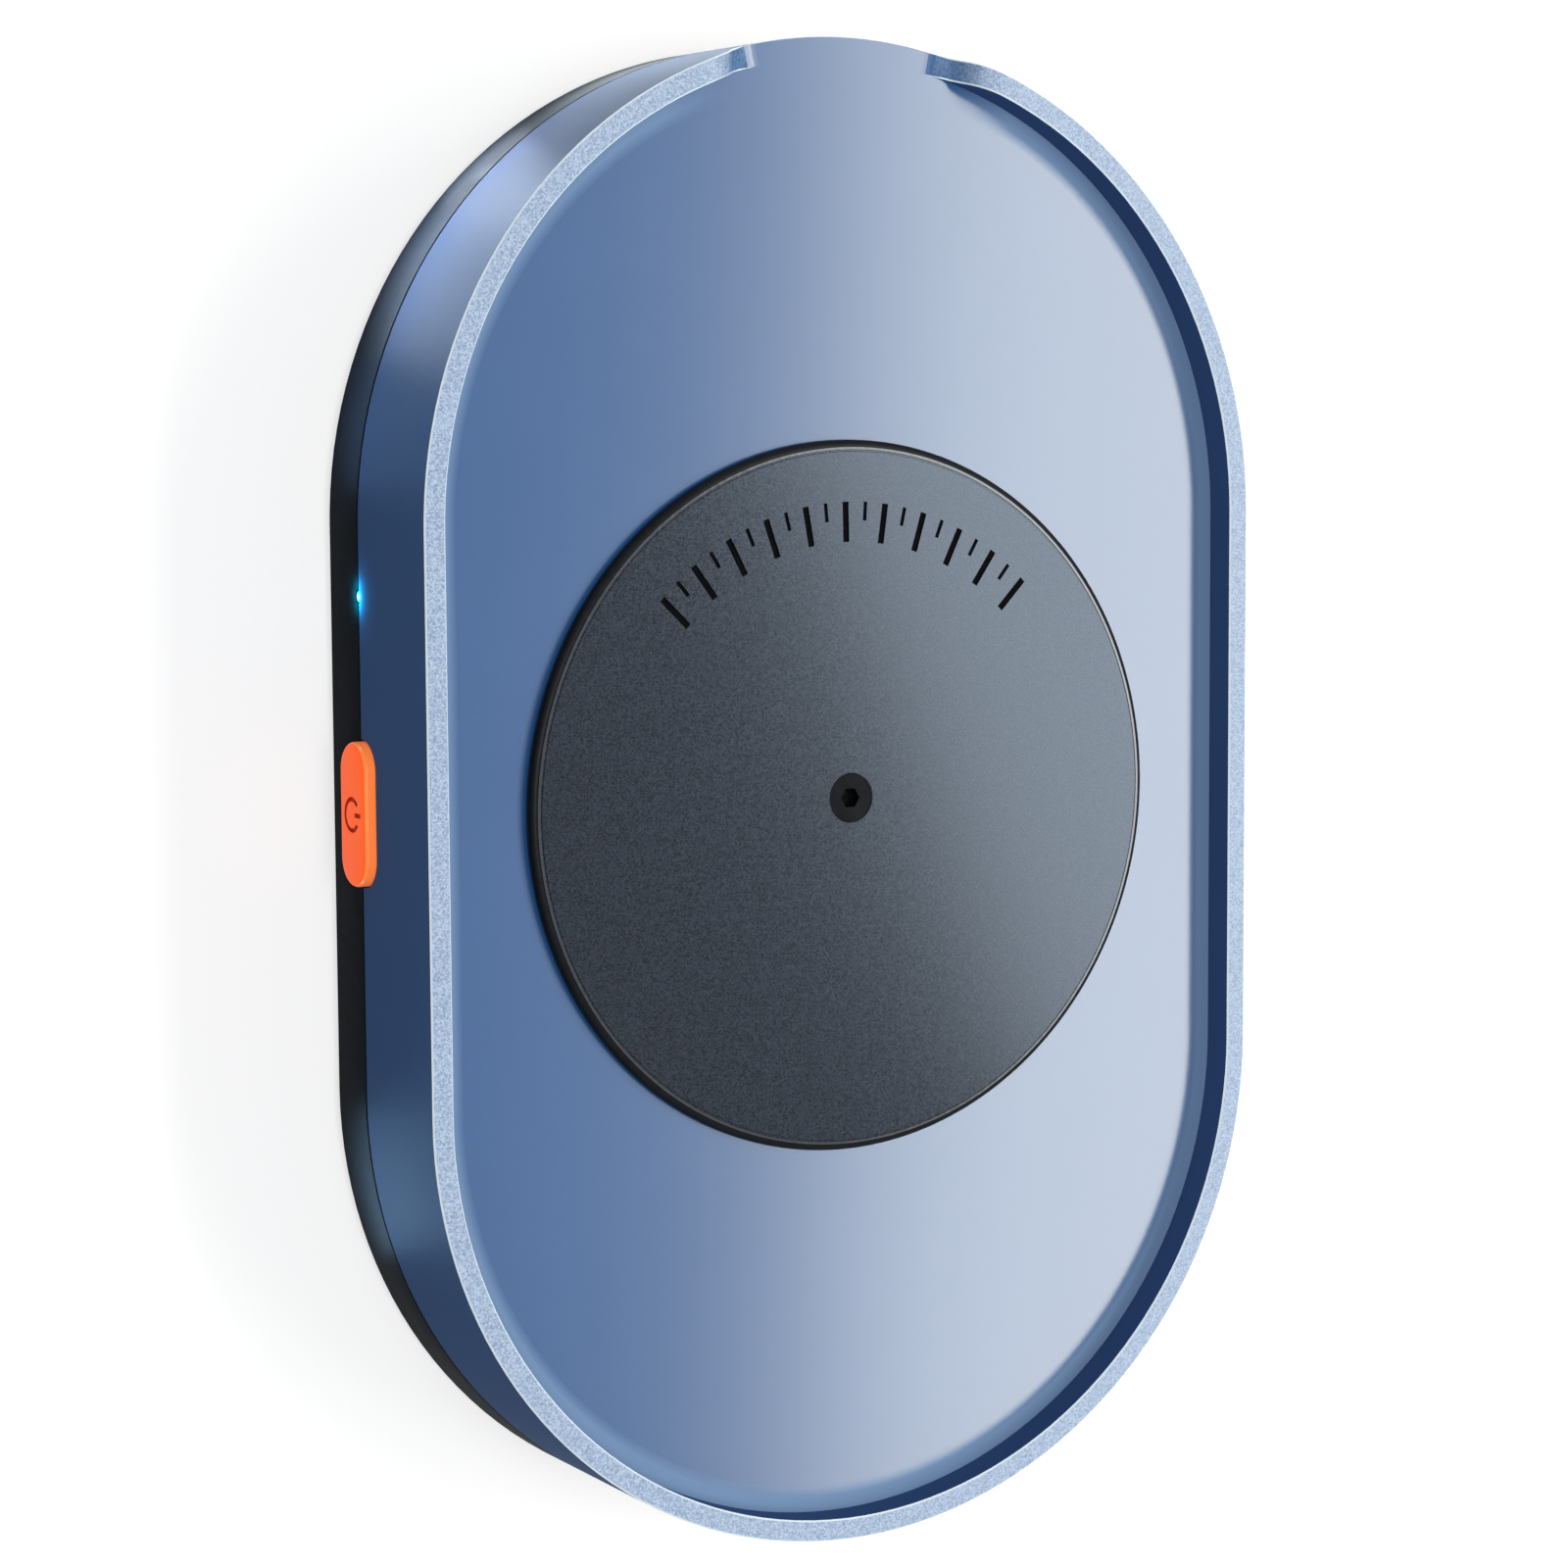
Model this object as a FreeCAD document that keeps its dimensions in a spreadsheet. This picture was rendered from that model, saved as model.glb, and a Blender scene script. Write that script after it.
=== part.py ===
import FreeCAD, Part

import math
import os
import re

import Sketcher
from FreeCAD import Placement, Rotation, Vector

# A turntable mouse mover: a flat, rounded two-part housing with a raised rim, and a disc in
# its tray that a small stepper motor turns slowly through two pairs of spur gears.
# Millimetres. +Z is up through the disc, +Y points to the rim gap and the power socket, and
# the button and the status light are on the -X side. The origin is on the table, under the
# middle of the disc.

SIZES = (
    # Housing
    ("body_length", "120.5", "overall length along Y"),
    ("body_width", "76", "overall width along X, also the diameter of the round ends"),
    ("foot_stand", "0.8", "how far the feet hold the underside off the table"),
    ("seam_height", "5.65", "underside to the seam between cover and shell"),
    ("seam_gap", "0.15", "hairline gap at the seam"),
    ("face_height", "15.2", "underside to the tray face"),
    ("rim_height", "18", "underside to the top of the rim"),
    ("rim_width", "1.75", "width of the rim's top"),
    ("rim_chamfer", "0.18", "bright chamfer on both edges of the rim"),
    ("gap_width", "16", "flat length of the rim gap, between the feet of its ramps"),
    ("ramp_run", "5.6", "length of the ogee ramp at each end of the rim"),
    ("wall", "2.2", "side wall of both halves"),
    ("plate_thickness", "2.8", "top plate of the shell, under the tray face"),
    ("floor_thickness", "1.6", "floor of the cover"),
    ("cover_edge", "0.5", "chamfer of the cover's lower edge"),
    ("lip_height", "1.2", "height of the cover's two locating lips above the seam"),
    ("lip_thickness", "0.9", "thickness of the locating lips"),
    ("lip_inset", "3", "locating lips, from the ends of the straight sides"),
    ("lip_clearance", "0.1", "lips to shell"),
    # Fits and cuts
    ("running_clearance", "0.04", "radial clearance of a shaft that turns"),
    ("press_clearance", "0.01", "radial clearance drawn at a pressed or screwed joint"),
    ("thrust_gap", "0.05", "end play of a part that turns against a face"),
    ("hole_reserve", "0.5", "blind screw holes past the screw's tip"),
    ("cut_margin", "1", "how far a cutting tool reaches past what it cuts"),
    # Turntable
    ("disc_radius", "28.6", "outer radius of the disc"),
    ("disc_raise", "1.1", "top of the disc above the tray face"),
    ("disc_gap", "0.25", "dark gap under the rim of the disc"),
    ("disc_edge", "0.3", "chamfer on the disc's top edge"),
    ("disc_hub_radius", "6", "hub under the disc, round its screw"),
    ("well_depth", "1.6", "depth of the well in the tray face that takes the hub"),
    ("well_clearance", "0.4", "hub to the wall of the well"),
    ("washer_thickness", "0.25", "thrust washer"),
    ("washer_radius", "4.4", "thrust washer, outside"),
    ("bush_radius", "3.5", "spindle bush, outside"),
    ("bush_length", "5.4", "spindle bush below the floor of the well"),
    ("bush_flange_radius", "4.6", "flange of the spindle bush"),
    ("bush_flange_thickness", "0.5", "flange of the spindle bush"),
    ("bush_boss_radius", "6", "boss of the shell round the spindle bush"),
    ("spindle_radius", "2.5", "running part of the spindle"),
    ("spindle_end_radius", "2", "keyed ends of the spindle"),
    ("spindle_flat", "1.5", "axis to each of the two drive flats"),
    ("tenon_height", "0.5", "keyed end of the spindle in the disc"),
    ("clip_radius", "3.4", "retaining clip, outside"),
    ("clip_thickness", "0.4", "retaining clip"),
    ("clip_groove", "0.4", "depth of the clip's groove"),
    ("clip_tail", "0.5", "end of the spindle below the clip"),
    # Disc screw, M2 countersunk with a hexagon socket
    ("disc_screw_head", "1.95", "radius of the countersunk head"),
    ("disc_screw_cone", "1", "height of the countersunk head"),
    ("disc_screw_sink", "0.15", "head below the top of the disc"),
    ("disc_screw_length", "5", "length under the top of the head"),
    ("hex_across", "1.5", "hexagon socket across flats"),
    ("hex_depth", "0.7", "hexagon socket"),
    ("small_screw_radius", "1", "M2 thread of the disc screw and the case screws"),
    # Gear train
    ("gear_module", "0.6", "module of all the gears"),
    ("pressure_angle", "20", "degrees"),
    ("profile_shift", "0.3", "shift of the small gears, taken off the large ones"),
    ("backlash", "0.08", "play of each pair at the pitch circle"),
    ("pinion_teeth", "12", "motor pinion"),
    ("wheel_teeth", "48", "large toothing of the idler"),
    ("small_teeth", "12", "small toothing of the idler"),
    ("table_teeth", "60", "turntable gear"),
    ("gear_width", "2", "face width of each toothing"),
    ("gear_step", "0.5", "large toothing of the idler to the turntable gear"),
    ("axle_radius", "1.25", "idler axle"),
    ("axle_boss_radius", "2.8", "boss of the shell that holds the idler axle"),
    ("axle_seat", "4", "depth of the axle in that boss"),
    ("thrust_boss_radius", "2.2", "boss of the cover under the idler"),
    ("thrust_boss_height", "0.4", "boss of the cover under the idler"),
    ("axle_tip_seat", "0.8", "depth of the axle's tip in that boss"),
    ("axle_tip_play", "0.1", "end play of the axle's tip"),
    ("idler_play", "0.2", "end play of the idler"),
    ("table_hub_radius", "4.2", "hub of the turntable gear"),
    ("hub_play", "0.3", "hub of the turntable gear to the bush"),
    # Motor
    ("motor_turn", "45", "degrees from the -Y axis to the motor, seen from the idler"),
    ("motor_clock", "90", "degrees from the X axis to the line of the flange's ears"),
    ("motor_radius", "7.5", "motor can"),
    ("motor_gap", "0.2", "motor can to the shell's plate"),
    ("motor_edge", "0.5", "chamfer of the can's closed end"),
    ("motor_flange", "0.6", "thickness of the mounting flange"),
    ("motor_ear", "10.5", "motor axis to each mounting screw"),
    ("motor_ear_radius", "2.1", "rounding of the flange round each screw"),
    ("motor_boss_radius", "2.1", "bosses of the shell for the motor"),
    ("flange_clearance", "0.4", "idler to the motor flange"),
    ("shaft_radius", "0.75", "motor shaft"),
    ("shaft_reach", "4", "length of the shaft inside the can"),
    ("motor_screw_radius", "0.8", "M1.6 thread"),
    ("motor_screw_head", "1.4", "radius of the head"),
    ("motor_screw_head_height", "0.35", "low head, clear of the idler's teeth"),
    ("motor_screw_length", "3.5", "length under the head"),
    ("terminal_width", "4.4", "terminal block along the can"),
    ("terminal_depth", "2", "terminal block, out from the can"),
    ("terminal_height", "3", "terminal block along the motor's axis"),
    # Case screws and feet
    ("case_screw_x", "21", "case screws, from the middle plane"),
    ("case_screw_inset", "14.25", "case screws, from each end of the body"),
    ("case_post_radius", "2.6", "posts and bosses for the case screws"),
    ("case_screw_head", "1.9", "radius of the head"),
    ("case_screw_head_height", "1.2", "its height"),
    ("case_screw_pocket", "1.6", "depth of the counterbore for the head"),
    ("case_screw_length", "8", "length under the head"),
    ("case_hole_clearance", "0.15", "screws and heads to the cover's holes"),
    ("foot_radius", "4.5", "rubber pads"),
    ("foot_x", "26", "pads, from the middle plane"),
    ("foot_inset", "30.25", "pads, from each end of the body"),
    ("foot_pocket", "0.6", "depth of the pockets that take the pads"),
    ("foot_clearance", "0.1", "pads to their pockets"),
    # Circuit board
    ("board_thickness", "1", "circuit board"),
    ("board_post_height", "1", "posts of the cover under the board"),
    ("board_post_radius", "1.9", "posts of the cover under the board"),
    ("board_clearance", "1.6", "board to the side wall"),
    ("board_nose_clearance", "1.3", "board to the end wall at the socket"),
    ("board_nose", "7", "half width of the board at the socket"),
    ("board_nose_length", "6.75", "length of the narrow part at the socket"),
    ("board_half_width", "17.5", "half width of the board's main part"),
    ("board_main_length", "24", "length of the board's main part"),
    ("board_arm", "11", "width of the arm along the -X side"),
    ("board_arm_reach", "9", "length of the arm past the middle of the body"),
    ("board_join", "10", "length of the joint between arm and main part"),
    ("board_corner", "3.8", "cut corner of the arm"),
    ("board_screw_inset", "4", "board screws, from the board's edges"),
    ("board_screw_radius", "0.8", "M1.6 thread"),
    ("board_screw_head", "1.5", "radius of the head"),
    ("board_screw_head_height", "0.9", "its height"),
    ("board_screw_length", "2.5", "length under the head"),
    # Power socket
    ("usb_width", "8.94", "socket shell, outside"),
    ("usb_height", "3.16", "socket shell, outside"),
    ("usb_length", "7.35", "socket shell"),
    ("usb_wall", "0.3", "sheet of the socket shell"),
    ("usb_setback", "0.3", "mouth of the socket behind the end of the body"),
    ("usb_clearance", "0.2", "socket to the opening in the wall"),
    ("tongue_width", "6.7", "tongue of the socket"),
    ("tongue_thickness", "0.7", "tongue of the socket"),
    ("tongue_length", "4.8", "tongue of the socket"),
    # Button, switch and status light
    ("button_length", "11.3", "cap along Y"),
    ("button_height", "4.6", "cap along Z"),
    ("button_rise", "0.35", "middle of the cap above the seam"),
    ("button_proud", "0.95", "cap stands out of the wall at rest"),
    ("button_edge", "0.4", "chamfer of the cap's front edge"),
    ("button_gap", "0.15", "cap to the opening in the wall"),
    ("button_travel", "0.4", "stroke of the button"),
    ("button_flange", "1.2", "flange behind the wall, past the cap"),
    ("button_flange_thickness", "0.8", "flange behind the wall"),
    ("switch_gap", "1.35", "flange of the button to the switch's front"),
    ("switch_depth", "3.5", "switch along X"),
    ("switch_width", "6", "switch along Y"),
    ("switch_rise", "1.9", "top of the switch above the plunger's middle"),
    ("plunger_width", "2.6", "plunger along Y"),
    ("plunger_height", "1.6", "plunger along Z"),
    ("plunger_gap", "0.1", "plunger to the button's flange"),
    ("plunger_seat", "0.6", "plunger inside the switch at rest"),
    ("plunger_clearance", "0.05", "plunger to its slot in the switch"),
    ("pipe_y", "16.85", "light pipe, from the middle of the body"),
    ("pipe_radius", "0.5", "light pipe where it shows"),
    ("pipe_clearance", "0.05", "light pipe to its hole"),
    ("pipe_block_width", "2.6", "block of the light pipe behind the wall, along Y"),
    ("pipe_block_gap", "0.2", "block of the light pipe to the wall"),
    ("pipe_block_top", "0.8", "block of the light pipe above its middle"),
    ("led_length", "1.8", "status light along Y"),
    ("led_depth", "0.8", "status light along X"),
    ("led_height", "0.9", "status light"),
    ("led_inset", "0.4", "status light behind the board's edge"),
    # Chips, board connector and motor leads
    ("controller_side", "5", "controller"),
    ("controller_height", "0.9", "controller"),
    ("controller_x", "3", "middle of the controller"),
    ("controller_inset", "17.5", "middle of the controller, from the board's end"),
    ("driver_length", "5", "motor driver along X"),
    ("driver_width", "4", "motor driver along Y"),
    ("driver_height", "1.2", "motor driver"),
    ("driver_x", "7.5", "middle of the motor driver, from the middle plane"),
    ("driver_inset", "26", "middle of the motor driver, from the board's end"),
    ("header_depth", "3", "board connector along X"),
    ("header_width", "5", "board connector along Y"),
    ("header_inset", "19.5", "middle of the board connector, from the board's end"),
    ("header_height", "4.6", "board connector"),
    ("lead_thickness", "0.7", "flat lead"),
    ("lead_height", "2.4", "flat lead, on edge"),
    ("lead_bend", "4", "radius of its bends"),
    ("lead_wall_gap", "4.5", "flat lead to the side wall"),
)

# Levels, as formulas of the sizes above.
SEAM = "(foot_stand + seam_height)"
SHELL_EDGE = f"({SEAM} + seam_gap)"
FACE = "(foot_stand + face_height)"
RIM_TOP = "(foot_stand + rim_height)"
PLATE_UNDER = f"({FACE} - plate_thickness)"
WELL_FLOOR = f"({FACE} - well_depth)"
FLOOR_TOP = "(foot_stand + floor_thickness)"
BOARD_UNDER = f"({FLOOR_TOP} + board_post_height)"
BOARD_TOP = f"({BOARD_UNDER} + board_thickness)"
THRUST_BOSS_TOP = f"({FLOOR_TOP} + thrust_boss_height)"
WHEEL_BOTTOM = f"({THRUST_BOSS_TOP} + idler_play)"
WHEEL_TOP = f"({WHEEL_BOTTOM} + gear_width)"
TABLE_GEAR_BOTTOM = f"({WHEEL_TOP} + gear_step)"
TABLE_GEAR_TOP = f"({TABLE_GEAR_BOTTOM} + gear_width)"
IDLER_TOP = f"({TABLE_GEAR_TOP} + 2 * idler_play)"
AXLE_BOSS_BOTTOM = f"({IDLER_TOP} + idler_play)"
MOTOR_BOTTOM = f"({WHEEL_TOP} + motor_screw_head_height + flange_clearance)"
CAN_BOTTOM = f"({MOTOR_BOTTOM} + motor_flange)"
CAN_TOP = f"({PLATE_UNDER} - motor_gap)"
BUSH_BOTTOM = f"({WELL_FLOOR} - bush_length)"
HUB_TOP = f"({BUSH_BOTTOM} - hub_play)"
CLIP_TOP = f"({TABLE_GEAR_BOTTOM} - thrust_gap)"
DISC_TOP = f"({FACE} + disc_raise)"
DISC_UNDER = f"({WELL_FLOOR} + bush_flange_thickness + washer_thickness + thrust_gap)"

# Places in plan, as formulas.
STRAIGHT_END = "((body_length - body_width) / 2)"
SIDE_INNER = "(body_width / 2 - wall)"
BOARD_SIDE = f"({SIDE_INNER} - board_clearance)"
BOARD_END = "(body_length / 2 - wall - board_nose_clearance)"
BOARD_SHOULDER = f"({BOARD_END} - board_nose_length)"
BOARD_START = f"({BOARD_SHOULDER} - board_main_length)"
IDLER_DISTANCE = "(gear_module * (small_teeth + table_teeth) / 2)"
MOTOR_DISTANCE = "(gear_module * (pinion_teeth + wheel_teeth) / 2)"
BUTTON_Z = f"({SEAM} + button_rise)"
FLANGE_BACK = f"({SIDE_INNER} - thrust_gap - button_flange_thickness)"
SWITCH_FRONT = f"({FLANGE_BACK} - switch_gap)"
PIPE_Z = f"({SEAM} + seam_gap / 2)"
USB_Z = f"({BOARD_TOP} + usb_height / 2)"
CASE_SCREW_Y = "(body_length / 2 - case_screw_inset)"
FOOT_Y = "(body_length / 2 - foot_inset)"

TOUCH = 1e-6  # two levels nearer than this are one, in mm
FLAT_FLANK = 0.5  # a tooth's flank that turns less than this, in radians, is drawn as two flats

doc = FreeCAD.newDocument("MouseMover")
sheet = doc.addObject("Spreadsheet::Sheet", "Sizes")
for row, (alias, number, note) in enumerate(SIZES, start=1):
    sheet.set(f"A{row}", note)
    sheet.set(f"B{row}", number)
    sheet.setAlias(f"B{row}", alias)
doc.recompute()

nodes = {}


# ---------------------------------------------------------------- formulas and documents


def mm(formula):
    """The value of a formula of the sheet's sizes."""
    return float(sheet.evalExpression(formula))


def bound(formula):
    """The formula as another object's expression, each size looked up in the sheet."""
    return re.sub(r"\b([a-z][a-z_]*)\b(?!\()", r"Sizes.\1", formula)


def bind(item, **formulas):
    """Bind properties of a document object to formulas."""
    for name, formula in formulas.items():
        item.setExpression(name, bound(formula))


def place(item, x="0", y="0", z="0"):
    """Bind the object's position to three formulas."""
    item.setExpression("Placement.Base.x", bound(x))
    item.setExpression("Placement.Base.y", bound(y))
    item.setExpression("Placement.Base.z", bound(z))
    return item


def keep(label, item):
    """Name a finished sub-part and list it for export."""
    item.Label = label
    nodes[label] = item
    return item


# ---------------------------------------------------------------------------- sketches


def new_body(label):
    return keep(label, doc.addObject("PartDesign::Body", label + "_body"))


def new_sketch(body, plane="XY_Plane", level="0"):
    """An empty sketch on one of the body's own planes, moved along that plane's normal."""
    sketch = body.newObject("Sketcher::SketchObject", "Sketch")
    support = next(f for f in body.Origin.OriginFeatures if f.Role == plane)
    sketch.AttachmentSupport = [(support, "")]
    sketch.MapMode = "FlatFace"
    sketch.setExpression("AttachmentOffset.Base.z", bound(level))
    return sketch


def dimension(sketch, name, value, formula):
    """Add a named dimension to the sketch and bind it to a formula."""
    name = f"{name}{sketch.ConstraintCount}"
    sketch.addConstraint(value)
    sketch.renameConstraint(sketch.ConstraintCount - 1, name)
    sketch.setExpression(f"Constraints.{name}", bound(formula))


def pin_point(sketch, geometry, point, x, y):
    """Hold a point of the sketch at the formulas x and y."""
    across = Sketcher.Constraint("DistanceX", -1, 1, geometry, point, mm(x))
    up = Sketcher.Constraint("DistanceY", -1, 1, geometry, point, mm(y))
    dimension(sketch, "x", across, x)
    dimension(sketch, "y", up, y)


def draw_circle(sketch, x, y, radius):
    disc = Part.Circle(Vector(mm(x), mm(y), 0), Vector(0, 0, 1), mm(radius))
    index = sketch.addGeometry(disc, False)
    pin_point(sketch, index, 3, x, y)
    dimension(sketch, "radius", Sketcher.Constraint("Radius", index, mm(radius)), radius)


def draw_slot(sketch, x, y, half_length, radius, upright=False):
    """A slot with round ends. half_length runs from its middle to an end's tip."""
    reach = f"({half_length} - {radius})"
    ends = []
    for sign in ("+", "-"):
        centre = (x, f"{y} {sign} {reach}") if upright else (f"{x} {sign} {reach}", y)
        turn = (90 if upright else 0) + (0 if sign == "+" else 180)
        circle = Part.Circle(Vector(mm(centre[0]), mm(centre[1]), 0), Vector(0, 0, 1), mm(radius))
        arc = Part.ArcOfCircle(circle, math.radians(turn - 90), math.radians(turn + 90))
        index = sketch.addGeometry(arc, False)
        pin_point(sketch, index, 3, *centre)
        size = Sketcher.Constraint("Radius", index, mm(radius))
        dimension(sketch, "radius", size, radius)
        ends.append((index, arc))
    (first, arc_a), (second, arc_b) = ends
    for start, begin, end, finish in ((first, arc_a, second, arc_b), (second, arc_b, first, arc_a)):
        line = Part.LineSegment(begin.EndPoint, finish.StartPoint)
        side = sketch.addGeometry(line, False)
        sketch.addConstraint(Sketcher.Constraint("Tangent", start, 2, side, 1))
        sketch.addConstraint(Sketcher.Constraint("Tangent", side, 2, end, 1))


def draw_outline(sketch, corners):
    """A closed polygon through the corners, each a pair of formulas."""
    points = [Vector(mm(x), mm(y), 0) for x, y in corners]
    first = sketch.GeometryCount
    for index, point in enumerate(points):
        follower = points[(index + 1) % len(points)]
        sketch.addGeometry(Part.LineSegment(point, follower), False)
    for index, corner in enumerate(corners):
        after = first + (index + 1) % len(points)
        sketch.addConstraint(Sketcher.Constraint("Coincident", first + index, 2, after, 1))
        pin_point(sketch, first + index, 1, *corner)


def draw_rectangle(sketch, x_low, x_high, y_low, y_high):
    corners = [(x_low, y_low), (x_high, y_low), (x_high, y_high), (x_low, y_high)]
    draw_outline(sketch, corners)


# ---------------------------------------------------------------------------- features


def add_pad(body, sketch, length):
    """Add material from the sketch along its normal."""
    pad = body.newObject("PartDesign::Pad", "Pad")
    pad.Profile = sketch
    bind(pad, Length=length)
    doc.recompute()
    return pad


def add_pocket(body, sketch, depth, along_normal=False):
    """Cut from the sketch against its normal, or along it, and make sure that it cut."""
    before = body.Shape.Volume
    pocket = body.newObject("PartDesign::Pocket", "Pocket")
    pocket.Profile = sketch
    pocket.Reversed = along_normal
    bind(pocket, Length=depth)
    doc.recompute()
    if body.Shape.Volume >= before:
        raise RuntimeError(f"{body.Label}: {pocket.Name} cuts nothing")
    return pocket


def edges_at(body, test):
    """Names of the tip's edges whose bounding box passes the test."""
    names = []
    for number, edge in enumerate(body.Shape.Edges, start=1):
        if test(edge.BoundBox):
            names.append(f"Edge{number}")
    return names


def add_chamfer(body, edges, size):
    """Break the named edges of the body's tip."""
    base = body.Tip
    chamfer = body.newObject("PartDesign::Chamfer", "Chamfer")
    chamfer.Base = (base, edges)
    bind(chamfer, Size=size)
    doc.recompute()


def turned(label, profile, x="0", y="0"):
    """A body turned about Z from a profile of (radius, height) formulas, placed at x, y."""
    body = new_body(label)
    sketch = new_sketch(body, "XZ_Plane")
    draw_outline(sketch, profile)
    turn = body.newObject("PartDesign::Revolution", "Revolution")
    turn.Profile = sketch
    turn.ReferenceAxis = (sketch, ["V_Axis"])
    turn.Angle = 360
    place(body, x, y)
    doc.recompute()
    return body


def add_box(name, x, y, z):
    """A Part::Box between pairs of formulas for its low and high faces."""
    item = doc.addObject("Part::Box", name)
    sizes = [f"{high} - ({low})" for low, high in (x, y, z)]
    bind(item, Length=sizes[0], Width=sizes[1], Height=sizes[2])
    return place(item, x[0], y[0], z[0])


def add_cylinder(name, radius, low, high, x="0", y="0"):
    item = doc.addObject("Part::Cylinder", name)
    bind(item, Radius=radius, Height=f"{high} - ({low})")
    return place(item, x, y, low)


def combine(kind, name, shapes):
    """A Part::MultiFuse or Part::MultiCommon of the shapes."""
    item = doc.addObject(f"Part::{kind}", name)
    item.Shapes = shapes
    return item


def cut(name, base, tool):
    item = doc.addObject("Part::Cut", name)
    item.Base = base
    item.Tool = tool
    return item


def copies(label, master, places):
    """One node that holds a copy of the master at each place, as separate solids."""
    doc.recompute()
    item = doc.addObject("Part::Feature", label + "_set")
    item.Shape = Part.makeCompound([master.Shape.translated(spot) for spot in places])
    del nodes[master.Label]
    master.Label = label + "_master"
    return keep(label, item)


def four_corners(x, y):
    """The four plan positions at plus and minus x and y."""
    return [(f"({sx} * {x})", f"({sy} * {y})") for sx in ("1", "-1") for sy in ("1", "-1")]


def at_plan(spots):
    return [Vector(mm(x), mm(y), 0) for x, y in spots]


# ---------------------------------------------------------------------------- housing


def cut_wall_openings(body):
    """The openings that cross the seam: button, light pipe and power socket."""
    inside = f"-({SIDE_INNER} - cut_margin)"
    depth = "wall + 2 * cut_margin"
    button = new_sketch(body, "YZ_Plane", inside)
    radius = "(button_height / 2 + button_gap)"
    draw_slot(button, "0", BUTTON_Z, "(button_length / 2 + button_gap)", radius)
    add_pocket(body, button, depth)
    pipe = new_sketch(body, "YZ_Plane", inside)
    draw_circle(pipe, "pipe_y", PIPE_Z, "pipe_radius + pipe_clearance")
    add_pocket(body, pipe, depth)
    socket = new_sketch(body, "XZ_Plane", "-(body_length / 2 - wall - cut_margin)")
    radius = "(usb_height / 2 + usb_clearance)"
    draw_slot(socket, "0", USB_Z, "(usb_width / 2 + usb_clearance)", radius)
    add_pocket(body, socket, depth)


def motor_place():
    """Plan position of the motor's axis, as formulas."""
    x = f"({MOTOR_DISTANCE} * sin(motor_turn))"
    y = f"(-{IDLER_DISTANCE} - {MOTOR_DISTANCE} * cos(motor_turn))"
    return x, y


def motor_screw_places():
    """Plan positions of the two ears of the motor's flange."""
    x, y = motor_place()
    ear_x = "motor_ear * cos(motor_clock)"
    ear_y = "motor_ear * sin(motor_clock)"
    return [(f"({x} {s} {ear_x})", f"({y} {s} {ear_y})") for s in ("+", "-")]


def draw_rim_gap(sketch):
    """The rim gap from the front: flat on the tray face, an ogee of two arcs at each end."""
    foot = "gap_width / 2"
    top = "(gap_width / 2 + ramp_run)"
    rise = "(rim_height - face_height)"
    middle_x = "(gap_width / 2 + ramp_run / 2)"
    middle_z = f"({FACE} + {rise} / 2)"
    bend = f"((ramp_run^2 + {rise}^2) / (4 * {rise}))"
    lid = f"({RIM_TOP} + cut_margin)"
    stops = {
        "foot": (foot, FACE),
        "middle": (middle_x, middle_z),
        "top": (top, RIM_TOP),
        "lid": (top, lid),
    }

    def corner(name, side):
        x, z = stops[name]
        return (x if side > 0 else f"-({x})", z)

    def add_arc(start, end, centre_z):
        """A short arc from start to end, counter-clockwise about its centre."""
        ax, az = mm(start[0]), mm(start[1])
        bx, bz = mm(end[0]), mm(end[1])
        centre_x = ax if abs(az - mm(centre_z)) > mm(bend) - TOUCH else bx
        centre = Vector(centre_x, mm(centre_z), 0)
        circle = Part.Circle(centre, Vector(0, 0, 1), mm(bend))
        first = math.atan2(az - centre.y, ax - centre.x)
        last = math.atan2(bz - centre.y, bx - centre.x)
        index = sketch.addGeometry(Part.ArcOfCircle(circle, first, last), False)
        pin_point(sketch, index, 1, *start)
        pin_point(sketch, index, 2, *end)
        dimension(sketch, "bend", Sketcher.Constraint("Radius", index, mm(bend)), bend)

    def add_line(start, end):
        a = Vector(mm(start[0]), mm(start[1]), 0)
        b = Vector(mm(end[0]), mm(end[1]), 0)
        index = sketch.addGeometry(Part.LineSegment(a, b), False)
        pin_point(sketch, index, 1, *start)
        pin_point(sketch, index, 2, *end)

    low_centre = f"({FACE} + {bend})"
    high_centre = f"({RIM_TOP} - {bend})"
    add_line(corner("foot", -1), corner("foot", 1))
    add_arc(corner("foot", 1), corner("middle", 1), low_centre)
    add_arc(corner("top", 1), corner("middle", 1), high_centre)
    add_line(corner("top", 1), corner("lid", 1))
    add_line(corner("lid", 1), corner("lid", -1))
    add_line(corner("lid", -1), corner("top", -1))
    add_arc(corner("middle", -1), corner("top", -1), high_centre)
    add_arc(corner("middle", -1), corner("foot", -1), low_centre)


def draw_lips(sketch, inner, clearance):
    """Two upright strips on the straight sides: the cover's lips, or their room in the shell."""
    outer = f"({SIDE_INNER} + lip_thickness + {clearance})"
    half_length = f"({STRAIGHT_END} - lip_inset + {clearance})"
    draw_rectangle(sketch, inner, outer, f"-{half_length}", half_length)
    draw_rectangle(sketch, f"-{outer}", f"-{inner}", f"-{half_length}", half_length)


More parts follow.
